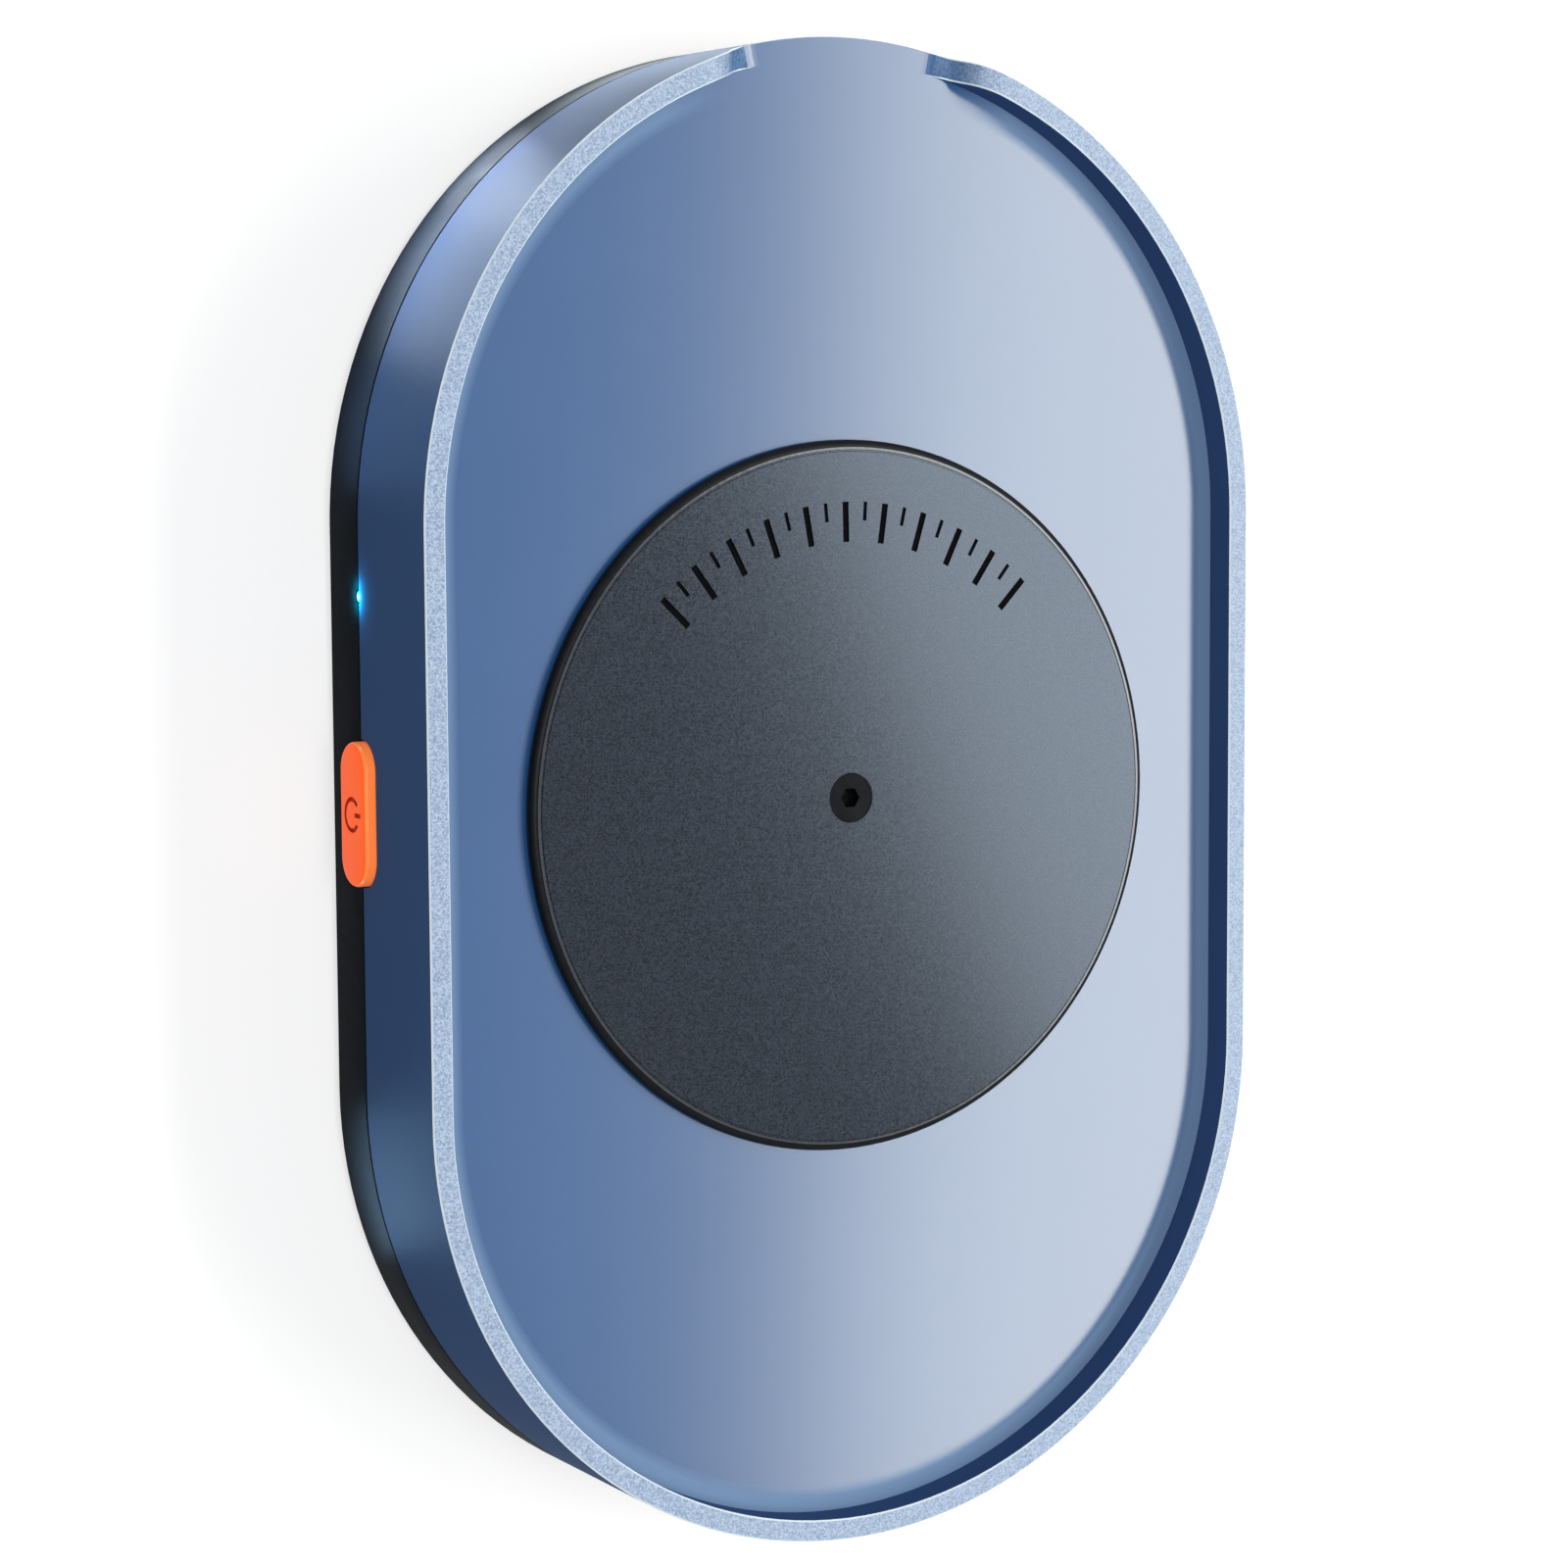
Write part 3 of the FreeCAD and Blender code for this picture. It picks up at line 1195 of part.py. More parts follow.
def make_disc():
    """Moulded disc with a hub in the well, keyed to the spindle."""
    rim_under = f"({FACE} + disc_gap)"
    screw_top = f"({DISC_TOP} - disc_screw_sink)"
    mouth = "(disc_screw_head + 2 * press_clearance)"
    neck = "(small_screw_radius + 2 * press_clearance)"
    body = turned(
        "turntable_disc",
        [
            (neck, DISC_UNDER),
            ("disc_hub_radius", DISC_UNDER),
            ("disc_hub_radius", rim_under),
            ("disc_radius", rim_under),
            ("disc_radius", f"{DISC_TOP} - disc_edge"),
            ("disc_radius - disc_edge", DISC_TOP),
            (mouth, DISC_TOP),
            (mouth, screw_top),
            (neck, f"{screw_top} - disc_screw_cone"),
        ],
    )
    key = new_sketch(body, level=DISC_UNDER)
    draw_double_d(key, "(spindle_end_radius + press_clearance)", "(spindle_flat + press_clearance)")
    add_pocket(body, key, "tenon_height + press_clearance", along_normal=True)


def draw_double_d(sketch, radius, flat):
    """Two arcs and two flats about the sketch's origin."""
    half = math.asin(mm(flat) / mm(radius))
    reach = f"sqrt(({radius})^2 - ({flat})^2)"
    circle = Part.Circle(Vector(), Vector(0, 0, 1), mm(radius))
    right = sketch.addGeometry(Part.ArcOfCircle(circle, -half, half), False)
    left = sketch.addGeometry(Part.ArcOfCircle(circle, math.pi - half, math.pi + half), False)
    corners = ((reach, flat), (f"-{reach}", flat), (f"-{reach}", f"-{flat}"), (reach, f"-{flat}"))
    for index, start, end in ((right, 3, 0), (left, 1, 2)):
        pin_point(sketch, index, 1, *corners[start])
        pin_point(sketch, index, 2, *corners[end])
        size = Sketcher.Constraint("Radius", index, mm(radius))
        dimension(sketch, "radius", size, radius)
    for start, end in ((0, 1), (2, 3)):
        points = [Vector(mm(x), mm(y), 0) for x, y in (corners[start], corners[end])]
        line = sketch.addGeometry(Part.LineSegment(*points), False)
        pin_point(sketch, line, 1, *corners[start])
        pin_point(sketch, line, 2, *corners[end])


def make_disc_screw():
    """Countersunk screw with a hexagon socket."""
    top = f"({DISC_TOP} - disc_screw_sink)"
    low = f"({top} - disc_screw_length)"
    body = turned(
        "disc_screw",
        [
            ("0", low),
            ("small_screw_radius", low),
            ("small_screw_radius", f"{top} - disc_screw_cone"),
            ("disc_screw_head", top),
            ("0", top),
        ],
    )
    socket = new_sketch(body, level=top)
    radius = "(hex_across / sqrt(3))"
    corners = [(f"{radius} * cos({60 * n})", f"{radius} * sin({60 * n})") for n in range(6)]
    draw_outline(socket, corners)
    add_pocket(body, socket, "hex_depth")


# ----------------------------------------------------------------------- build and save

make_top_shell()
make_bottom_cover()
make_feet()
make_case_screws()
make_circuit_board()
make_board_screws()
make_power_socket()
make_chips()
make_power_button()
make_switch()
make_status_light()
make_turntable_gear()
make_idler()
make_motor()
make_pinion()
make_header_and_leads()
make_bush_and_washer()
make_spindle()
make_clip()
make_disc()
make_disc_screw()
doc.recompute()

for item in doc.Objects:
    if "Invalid" in item.State or "Error" in item.State:
        raise RuntimeError(f"{item.Label} ({item.Name}) failed: {item.State}")
for label, item in nodes.items():
    if item.Shape.isNull() or not item.Shape.isValid() or not item.Shape.Solids:
        raise RuntimeError(f"{label} has no valid shape")

os.makedirs("parts", exist_ok=True)
for label, item in sorted(nodes.items()):
    item.Shape.exportStep(os.path.join("parts", label + ".step"))
print(f"{len(nodes)} nodes written")
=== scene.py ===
# Turntable mouse mover: a blue anodised tray with a raised rim, a charcoal disc that turns in
# it, a black lower cover, an orange push button and a status light. Metres, in the CAD frame:
# +Z up through the disc, +Y to the rim gap and the power socket, button and light on -X.
import math

import bmesh
import bpy
from mathutils import Matrix, Vector


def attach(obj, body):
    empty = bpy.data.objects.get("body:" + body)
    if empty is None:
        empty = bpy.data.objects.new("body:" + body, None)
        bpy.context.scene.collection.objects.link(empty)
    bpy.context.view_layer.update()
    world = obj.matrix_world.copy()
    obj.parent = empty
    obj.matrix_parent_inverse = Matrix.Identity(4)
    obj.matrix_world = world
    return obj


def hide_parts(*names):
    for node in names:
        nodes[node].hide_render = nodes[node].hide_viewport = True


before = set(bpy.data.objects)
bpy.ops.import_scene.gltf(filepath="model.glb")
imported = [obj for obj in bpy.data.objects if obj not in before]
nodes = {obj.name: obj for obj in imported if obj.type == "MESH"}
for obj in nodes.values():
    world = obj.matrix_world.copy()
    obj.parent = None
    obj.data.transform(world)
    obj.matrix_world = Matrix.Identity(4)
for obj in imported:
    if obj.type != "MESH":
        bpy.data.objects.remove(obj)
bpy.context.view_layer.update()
scene = bpy.context.scene


# ------------------------------------------------ camera
# A long lens from the button's side, looking down on the tray, turned so that the long side
# stands nearly upright in the view.
def make_object(name, data):
    """An object at the origin, in the scene."""
    item = bpy.data.objects.new(name, data)
    scene.collection.objects.link(item)
    return item


camera = make_object("camera", bpy.data.cameras.new("camera"))
camera.data.sensor_width = 36
camera.data.lens = 89.212365
camera.data.clip_start = 0.01
camera.data.clip_end = 20
camera.location = (-0.1603675, 0.0317451, 0.2822835)
camera.rotation_euler = [math.radians(angle) for angle in (-5.445555, -30.200989, -0.384574)]
scene.camera = camera


# --------------------------------- table, daylight and lamps
# A pale matt table top, which stays white to the eye and in gloss and keeps the soft shadow.
# Over it stand pale daylight and large softboxes, and small panels lie beside the body.
def put(tree, socket, value):
    """Link an output to the socket, or set a plain value on it."""
    if isinstance(value, bpy.types.NodeSocket):
        tree.links.new(value, socket)
    else:
        socket.default_value = value


def feed(tree, node, **sockets):
    """Give a node's sockets, by name, a plain value or another node's output."""
    for name, value in sockets.items():
        put(tree, node.inputs[name.replace("_", " ")], value)


def add_node(tree, kind, settings=None, **sockets):
    """A node with its settings and its sockets given."""
    node = tree.nodes.new(kind)
    for name, value in (settings or {}).items():
        setattr(node, name, value)
    feed(tree, node, **sockets)
    return node


def compute(tree, operation, *values):
    """Arithmetic on plain numbers and outputs."""
    node = add_node(tree, "ShaderNodeMath", {"operation": operation})
    for socket, value in zip(node.inputs, values):
        put(tree, socket, value)
    return node.outputs["Value"]


def spread(tree, value, low, high, from_low=0.3, from_high=0.7):
    """Map a value to a range of numbers. The limits that it comes from suit a noise."""
    change = add_node(tree, "ShaderNodeMapRange", Value=value, To_Min=low, To_Max=high)
    feed(tree, change, From_Min=from_low, From_Max=from_high)
    return change.outputs["Result"]


def white_to_the_eye(tree):
    """1 for camera, glossy and transmission rays, 0 for the light on the object."""
    path = add_node(tree, "ShaderNodeLightPath")
    seen = compute(tree, "MAXIMUM", path.outputs["Is Camera Ray"], path.outputs["Is Glossy Ray"])
    return compute(tree, "MAXIMUM", seen, path.outputs["Is Transmission Ray"])


table_reach = 3.0
table_grey = 0.45
table_lift = 0.65
table_top = bpy.data.materials.new("table_top")
table_top.use_nodes = True
table_tree = table_top.node_tree
table_tree.nodes.clear()
matt = add_node(table_tree, "ShaderNodeBsdfDiffuse", Color=(table_grey, table_grey, table_grey, 1))
seen_lift = compute(table_tree, "MULTIPLY", white_to_the_eye(table_tree), table_lift)
lift = add_node(table_tree, "ShaderNodeEmission", Color=(1, 1, 1, 1), Strength=seen_lift)
both = add_node(table_tree, "ShaderNodeAddShader")
put(table_tree, both.inputs[0], matt.outputs[0])
put(table_tree, both.inputs[1], lift.outputs[0])
add_node(table_tree, "ShaderNodeOutputMaterial", Surface=both.outputs[0])

table_corners = [(-1, -1), (1, -1), (1, 1), (-1, 1)]
table_points = [(x * table_reach, y * table_reach, 0) for x, y in table_corners]
table_mesh = bpy.data.meshes.new("table")
table_mesh.from_pydata(table_points, [], [(0, 1, 2, 3)])
table_mesh.materials.append(table_top)
table = make_object("table", table_mesh)

world = bpy.data.worlds.new("daylight")
scene.world = world
world.use_nodes = True
sky_tree = world.node_tree
sky_level = spread(sky_tree, white_to_the_eye(sky_tree), 0.32, 1.0, 0.0, 1.0)
feed(sky_tree, sky_tree.nodes["Background"], Color=(0.93, 0.96, 1.0, 1), Strength=sky_level)

scene.view_settings.view_transform = "Standard"


def add_lamp(name, width, length, radiance, colour):
    """A rectangular lamp that the camera doesn't see."""
    lamp = bpy.data.lights.new(name, "AREA")
    lamp.shape = "RECTANGLE"
    lamp.size = width
    lamp.size_y = length
    lamp.energy = radiance * math.pi * width * length
    lamp.color = colour
    item = make_object(name, lamp)
    item.visible_camera = False
    return item


def add_softbox(name, toward, distance, size, radiance, colour=(1, 1, 1)):
    """A large lamp that faces the tray. toward is (azimuth from +X, height), in degrees."""
    tray_middle = Vector((0, 0, 0.016))
    item = add_lamp(name, *size, radiance, colour)
    azimuth, height = (math.radians(angle) for angle in toward)
    east, north = math.cos(azimuth), math.sin(azimuth)
    out = Vector((east * math.cos(height), north * math.cos(height), math.sin(height)))
    side = Vector((-north, east, 0))
    turn = Matrix((out.cross(side), side, out)).transposed()
    item.matrix_world = Matrix.Translation(tray_middle + out * distance) @ turn.to_4x4()
    return item


def add_table_panel(name, place, bearing, size, radiance, colour):
    """A small panel that lies on the table beside the body, for the sheen of its side."""
    above_table = 0.0003
    item = add_lamp(name, *size, radiance, colour)
    flip = Matrix.Rotation(math.pi, 4, "Y")
    turn = Matrix.Rotation(math.radians(bearing), 4, "Z")
    item.matrix_world = Matrix.Translation((*place, above_table)) @ turn @ flip
    item.visible_diffuse = False


# The key is a large softbox whose near edge ends the soft gradient across the tray.
key_size = (0.197, 0.66)
key = add_softbox("key_softbox", (-2, 51), 0.7, key_size, 9.0, (1.0, 0.99, 0.88))
add_softbox("top_softbox", (170, 74), 0.9, (0.45, 0.45), 5.2)
for name, place, bearing, size, radiance, colour in (
    ("back_panel", (-0.0345, 0.0490), 142, (0.008, 0.024), 72, (0.62, 0.77, 1.0)),
    ("corner_panel", (-0.0275, 0.0545), 132, (0.007, 0.010), 30, (0.80, 0.87, 1.0)),
    ("side_panel", (-0.0425, 0.0325), 166, (0.008, 0.013), 20, (0.30, 0.55, 1.0)),
    ("end_panel", (-0.0125, 0.0633), 110, (0.008, 0.024), 16, (0.80, 0.90, 1.0)),
    ("front_panel", (-0.0425, -0.0320), 196, (0.008, 0.014), 26, (0.40, 0.69, 1.0)),
):
    add_table_panel(name, place, bearing, size, radiance, colour)


# ----------------------------------------------- top shell
# The upper half: one piece of aluminium with the tray, its raised rim and the rim gap with
# its two ogee ramps. It is machined, blasted, anodised blue, and the rim's edges are cut
# bright afterwards. Bosses under the tray take the case screws, motor, bush and idler axle.
MM = 0.001
end_radius = 38.0
straight_end = 22.25
seam = 6.45
shell_edge = 6.6
tray_level = 16.0
rim_top = 18.8
rim_width = 1.75
rim_cut = 0.12
gap_cut = 0.04
seam_break = 0.07
wall = 2.2
plate_under = 13.2
gap_half = 8.0
ramp_run = 5.6
well_radius = 6.4
well_floor = 14.4
bush_bore = 3.51
bush_boss = 6.0
bush_boss_low = 9.0
overlap = 0.2
case_post = 2.6
idler_y = -21.6
idler_boss, idler_boss_low, idler_bore = 2.8, 8.1, 1.26
motor_reach = 18.0
motor_x = motor_reach * math.sin(math.radians(45))
motor_y = idler_y - motor_x
motor_ear = 10.5
motor_boss, motor_boss_low = 2.1, 6.35
small_bore = 0.81
lip_inner, lip_outer = 35.8, 36.7
lip_half_length = 19.25
lip_top = 7.65
lip_play = 0.1
button_z = 6.8
pipe_y, pipe_z = 16.85, 6.525
usb_z = 5.98
case_screw_x, case_screw_y = 21, 46
case_bore = 1.01


def corners(x, y):
    """The four places of a rectangle about the body's middle."""
    return [(x, y), (x, -y), (-x, y), (-x, -y)]


case_screw_places = corners(case_screw_x, case_screw_y)


def stations(fine=0.5, coarse=2.5):
    """Round the body: a centre and an outward direction for each place, gap region finer."""
    gap_from, gap_to = 64, 116
    places = [(0, y, 1, 0) for y in (-straight_end, -11, 0, 11)]
    angle = 0.0
    while angle < 180:
        turn = math.radians(angle)
        places.append((0, straight_end, math.cos(turn), math.sin(turn)))
        angle += fine if gap_from <= angle < gap_to else coarse
    places += [(0, y, -1, 0) for y in (straight_end, 11, 0, -11)]
    angle = 180.0
    while angle < 360:
        turn = math.radians(angle)
        places.append((0, -straight_end, math.cos(turn), math.sin(turn)))
        angle += coarse
    return places


round_body = stations()


def stadium(radius, level):
    """A ring of points at a radius from the body's middle line."""
    return [(cx + radius * ux, cy + radius * uy, level) for cx, cy, ux, uy in round_body]


def circle(radius, level):
    """A round ring about the disc's axis, with its points at the bearings of the places."""
    ring = []
    for cx, cy, ux, uy in round_body:
        bearing = math.atan2(cy + end_radius * uy, cx + end_radius * ux)
        ring.append((radius * math.cos(bearing), radius * math.sin(bearing), level))
    return ring


def rim_height(x, y):
    """The rim's top: level all round, down to the tray by two ogee ramps at the +Y end."""
    rise = rim_top - tray_level
    bend = (ramp_run**2 + rise**2) / (4 * rise)
    along = abs(x) - gap_half
    if y < straight_end or along >= ramp_run:
        return rim_top
    if along <= 0:
        return tray_level
    if along < ramp_run / 2:
        return tray_level + bend - math.sqrt(bend**2 - along**2)
    return rim_top - bend + math.sqrt(bend**2 - (ramp_run - along) ** 2)


def cut_share(x, y):
    """How much of the bright cut is left: all on the rim, none down in the gap."""
    fades_over = 0.5
    return min(1.0, max(0.0, (rim_height(x, y) - tray_level) / fades_over))


def outer_cut(x, y):
    """The bright cut at the rim's outer edge, which fades to a thin break in the gap."""
    return gap_cut + (rim_cut - gap_cut) * cut_share(x, y)


def inner_cut(x, y):
    """The bright cut at the rim's inner edge."""
    return rim_cut * cut_share(x, y)


def no_cut(x, y):
    """No bright cut."""
    return 0.0


def rim_ring(radius, inward, drop):
    """A ring at the rim's top, set inward from a radius and lowered, each by a local cut."""
    ring = []
    for cx, cy, ux, uy in round_body:
        reach = radius - inward(cx + end_radius * ux, cy + end_radius * uy)
        x, y = cx + reach * ux, cy + reach * uy
        ring.append((x, y, rim_height(x, y) - drop(x, y)))
    return ring


def loft(name, rings, finishes=None, closed=False):
    """A skin over rings of equal length, in millimetres, with end faces unless it is closed.
    finishes gives the material index from each ring to the next."""
    finishes = finishes or [0] * len(rings)
    count = len(rings[0])
    points = [tuple(MM * value for value in point) for ring in rings for point in ring]
    faces, indices = [], []
    for low in range(len(rings) if closed else len(rings) - 1):
        first, second = low * count, (low + 1) % len(rings) * count
        for place in range(count):
            after = (place + 1) % count
            faces.append((first + place, first + after, second + after, second + place))
            indices.append(finishes[low])
    if not closed:
        faces.append(tuple(reversed(range(count))))
        faces.append(tuple((len(rings) - 1) * count + place for place in range(count)))
        indices += [finishes[0], finishes[-1]]
    mesh = bpy.data.meshes.new(name)
    mesh.from_pydata(points, [], faces)
    mesh.polygons.foreach_set("material_index", indices)
    return mesh


def tidy_mesh(mesh, merge=1e-7, recalculate=False):
    """Merge doubles, drop empty faces and, where asked, turn the faces outwards."""
    shape = bmesh.new()
    shape.from_mesh(mesh)
    bmesh.ops.remove_doubles(shape, verts=shape.verts, dist=merge)
    bmesh.ops.dissolve_degenerate(shape, edges=shape.edges, dist=merge)
    if recalculate:
        bmesh.ops.recalc_face_normals(shape, faces=shape.faces)
    shape.to_mesh(mesh)
    shape.free()


def make_body(name, rings, finishes=None, closed=False, merge=1e-7):
    """An object with a skin over rings, its faces turned outwards."""
    item = make_object(name, loft(name, rings, finishes, closed))
    tidy_mesh(item.data, merge, recalculate=True)
    return item


def smooth_by_angle(mesh, degrees=28):
    """Smooth shading, with sharp edges where faces meet at more than the angle."""
    mesh.polygons.foreach_set("use_smooth", [True] * len(mesh.polygons))
    mesh.set_sharp_from_angle(angle=math.radians(degrees))
    mesh.update()


def prism(outline, low, high, axis="Z", index=0):
    """A closed prism: an outline of (a, b) pairs carried along an axis, in millimetres."""
    turned = {
        "Z": lambda a, b, c: (a, b, c),
        "X": lambda a, b, c: (c, a, b),
        "Y": lambda a, b, c: (b, c, a),
    }[axis]
    rings = [[turned(a, b, level) for a, b in outline] for level in (low, high)]
    return loft("prism", rings, [index, index])


def round_outline(x, y, radius, steps=48):
    """A circle of points."""
    angles = [math.tau * step / steps for step in range(steps)]
    return [(x + radius * math.cos(a), y + radius * math.sin(a)) for a in angles]


def slot_outline(x, y, half_length, radius, steps=24):
    """A slot with round ends along the first axis."""
    outline = []
    for reach, start in ((half_length - radius, -90), (radius - half_length, 90)):
        for step in range(steps + 1):
            angle = math.radians(start + 180 * step / steps)
            outline.append((x + reach + radius * math.cos(angle), y + radius * math.sin(angle)))
    return outline


def box_outline(x_low, x_high, y_low, y_high):
    """A rectangle's four corners."""
    return [(x_low, y_low), (x_high, y_low), (x_high, y_high), (x_low, y_high)]


def tube(x, y, radius, bore, low, high):
    """A closed tube on a Z axis."""
    outer, inner = round_outline(x, y, radius), round_outline(x, y, bore)
    rings = [
        [(a, b, level) for a, b in outline]
        for outline, level in ((outer, low), (outer, high), (inner, high), (inner, low))
    ]
    return loft("tube", rings, closed=True)


def joined(name, meshes):
    """One mesh of several closed ones."""
    shape = bmesh.new()
    for mesh in meshes:
        shape.from_mesh(mesh)
        bpy.data.meshes.remove(mesh)
    bmesh.ops.recalc_face_normals(shape, faces=shape.faces)
    mesh = bpy.data.meshes.new(name)
    shape.to_mesh(mesh)
    shape.free()
    return mesh


def keep_result(item):
    """Keep what the object's modifiers make as its own plain mesh."""
    bpy.context.view_layer.update()
    graph = bpy.context.evaluated_depsgraph_get()
    done = bpy.data.meshes.new_from_object(item.evaluated_get(graph))
    item.modifiers.clear()
    item.data = done


def carve(item, operation, meshes):
    """Add to or cut from an object with closed shapes, by the exact solver."""
    tool = make_object("tool", joined("tool", meshes))
    change = item.modifiers.new("carve", "BOOLEAN")
    change.operation = operation
    change.solver = "EXACT"
    change.use_self = operation == "DIFFERENCE"
    change.material_mode = "INDEX"
    change.object = tool
    keep_result(item)
    bpy.data.objects.remove(tool)


def wall_openings():
    """The cuts through the side wall: button, light pipe and power socket."""
    through_side, through_end = (-39.5, -34.8), (56.5, 61.5)
    button_room = slot_outline(0, button_z, 5.8, 2.45)
    pipe_room = round_outline(pipe_y, pipe_z, 0.55, 32)
    socket_room = [(z, x) for x, z in slot_outline(0, usb_z, 4.67, 1.78)]
    return [
        prism(button_room, *through_side, "X"),
        prism(pipe_room, *through_side, "X"),
        prism(socket_room, *through_end, "Y"),
    ]


def lips(inner, outer, half_length, low, high):
    """A pair of straight bars along the two long sides."""
    return [
        prism(box_outline(near, far, -half_length, half_length), low, high)
        for near, far in ((inner, outer), (-outer, -inner))
    ]


tray_radius = end_radius - rim_width
WALL_FINISH, TRAY_FINISH, RIM_FINISH, CUT_FINISH = range(4)
shell_rings = [
    (stadium(end_radius - seam_break, shell_edge), CUT_FINISH),
    (stadium(end_radius, shell_edge + seam_break), WALL_FINISH),
    (rim_ring(end_radius, no_cut, outer_cut), CUT_FINISH),
    (rim_ring(end_radius, outer_cut, no_cut), RIM_FINISH),
    (rim_ring(tray_radius, lambda x, y: -inner_cut(x, y), no_cut), CUT_FINISH),
    (rim_ring(tray_radius, no_cut, inner_cut), WALL_FINISH),
    (stadium(tray_radius, tray_level), TRAY_FINISH),
    (circle(well_radius, tray_level), WALL_FINISH),
    (circle(well_radius, well_floor), WALL_FINISH),
    (circle(bush_bore, well_floor), WALL_FINISH),
    (circle(bush_bore, bush_boss_low), WALL_FINISH),
    (circle(bush_boss, bush_boss_low), WALL_FINISH),
    (circle(bush_boss, plate_under), WALL_FINISH),
    (stadium(end_radius - wall, plate_under), WALL_FINISH),
    (stadium(end_radius - wall, shell_edge), WALL_FINISH),
]
shell = make_body("tray_shell", *zip(*shell_rings), closed=True, merge=2e-6)
for polygon in shell.data.polygons:
    if polygon.material_index == RIM_FINISH and polygon.center.z < (tray_level + 0.05) * MM:
        polygon.material_index = TRAY_FINISH

boss_top = plate_under + overlap
bosses = [tube(x, y, case_post, case_bore, shell_edge, boss_top) for x, y in case_screw_places]
bosses.append(tube(0, idler_y, idler_boss, idler_bore, idler_boss_low, boss_top))
bosses += [
    tube(motor_x, motor_y + ear, motor_boss, small_bore, motor_boss_low, boss_top)
    for ear in (-motor_ear, motor_ear)
]
carve(shell, "UNION", bosses)
room_inner, room_outer = lip_inner - 0.9, lip_outer + lip_play
lip_room = lips(room_inner, room_outer, lip_half_length + lip_play, 6.0, lip_top + 0.25)
carve(shell, "DIFFERENCE", lip_room + wall_openings())
tidy_mesh(shell.data)
smooth_by_angle(shell.data)
for polygon in shell.data.polygons:
    polygon.use_smooth = polygon.material_index != TRAY_FINISH


def new_finish(name, **sockets):
    """A material with a principled shader whose plain values are set on its own sockets."""
    material = bpy.data.materials.new(name)
    material.use_nodes = True
    tree = material.node_tree
    shader = tree.nodes["Principled BSDF"]
    feed(tree, shader, **sockets)
    return material, tree, shader


def object_place(tree):
    """The place on the piece, in metres."""
    return add_node(tree, "ShaderNodeTexCoord").outputs["Object"]


def object_parts(tree):
    """The place on the piece, apart as X, Y and Z."""
    return add_node(tree, "ShaderNodeSeparateXYZ", Vector=object_place(tree)).outputs


def object_noise(tree, scale, detail=2.0, roughness=0.5, stretch=(1, 1, 1)):
    """Noise on object coordinates. scale is in repeats per metre."""
    turn = add_node(tree, "ShaderNodeMapping", Vector=object_place(tree), Scale=stretch)
    noise = add_node(tree, "ShaderNodeTexNoise", Vector=turn.outputs["Vector"], Scale=scale)
    feed(tree, noise, Detail=detail, Roughness=roughness)
    return noise.outputs["Fac"]


def object_grains(tree, scale):
    """Blasted grains: an own random number for each small cell. scale is in cells per metre."""
    cells = add_node(tree, "ShaderNodeTexVoronoi", Vector=object_place(tree), Scale=scale)
    one_number = add_node(tree, "ShaderNodeSeparateColor", Color=cells.outputs["Color"])
    return one_number.outputs["Red"]


def two_tone(tree, value, dark, light, low=0.35, high=0.65):
    """A colour between two tones, by a value."""
    ramp = add_node(tree, "ShaderNodeValToRGB", Fac=value)
    for stop, place, tone in zip(ramp.color_ramp.elements, (low, high), (dark, light)):
        stop.position = place
        stop.color = (*tone, 1)
    return ramp.outputs["Color"]


def blend(tree, share, first, second):
    """A colour between two others, each plain or an output."""
    mix = add_node(tree, "ShaderNodeMix", {"data_type": "RGBA"}, Factor=share, A=first, B=second)
    return mix.outputs["Result"]


def set_surface(tree, shader, colour, roughness, grain, depth):
    """Colour, roughness and fine relief. depth is the height of the grain in metres."""
    bump = add_node(tree, "ShaderNodeBump", Strength=1.0, Distance=depth, Height=grain)
    feed(tree, shader, Base_Color=colour, Roughness=roughness, Normal=bump.outputs["Normal"])


def give_finishes(item, *finishes):
    """Put the finishes on a piece, in the order of their indices."""
    for finish in finishes:
        item.data.materials.append(finish)


def anodised_finish(name, dark, light, roughness, grain, depth, **sockets):
    """Dyed anodised aluminium: even colour with a faint mottle, sealed and satin."""
    material, tree, shader = new_finish(name, **sockets)
    mottle = object_noise(tree, 60, detail=3)
    fine = object_noise(tree, grain, detail=2)
    colour = two_tone(tree, mottle, dark, light)
    set_surface(tree, shader, colour, spread(tree, fine, *roughness), fine, depth)
    return material


def painted_band_beside_wall(tree):
    """Where the painted band of shade goes: 1 on the tray's face along the foot of the wall, 0
    elsewhere and in the rim's gap.
    """
    parts = object_parts(tree)
    x, y = parts["X"], parts["Y"]
    past_end = compute(tree, "SUBTRACT", compute(tree, "ABSOLUTE", y), straight_end * MM)
    past_end = compute(tree, "MAXIMUM", past_end, 0.0)
    squares = compute(tree, "MULTIPLY", past_end, past_end)
    squares = compute(tree, "ADD", compute(tree, "MULTIPLY", x, x), squares)
    from_middle_line = compute(tree, "SQRT", squares)
    begins, full = (tray_radius - 2.15) * MM, (tray_radius - 1.25) * MM
    near_wall = spread(tree, from_middle_line, 0.0, 1.0, begins, full)
    gap_side, rim_side = (gap_half + 2) * MM, 2 * gap_half * MM
    beside_gap = spread(tree, compute(tree, "ABSOLUTE", x), 0.0, 1.0, gap_side, rim_side)
    front_half = spread(tree, y, 1.0, 0.0, 0.0, 0.001)
    clear_of_gap = compute(tree, "MAXIMUM", beside_gap, front_half)
    return compute(tree, "MULTIPLY", near_wall, clear_of_gap)


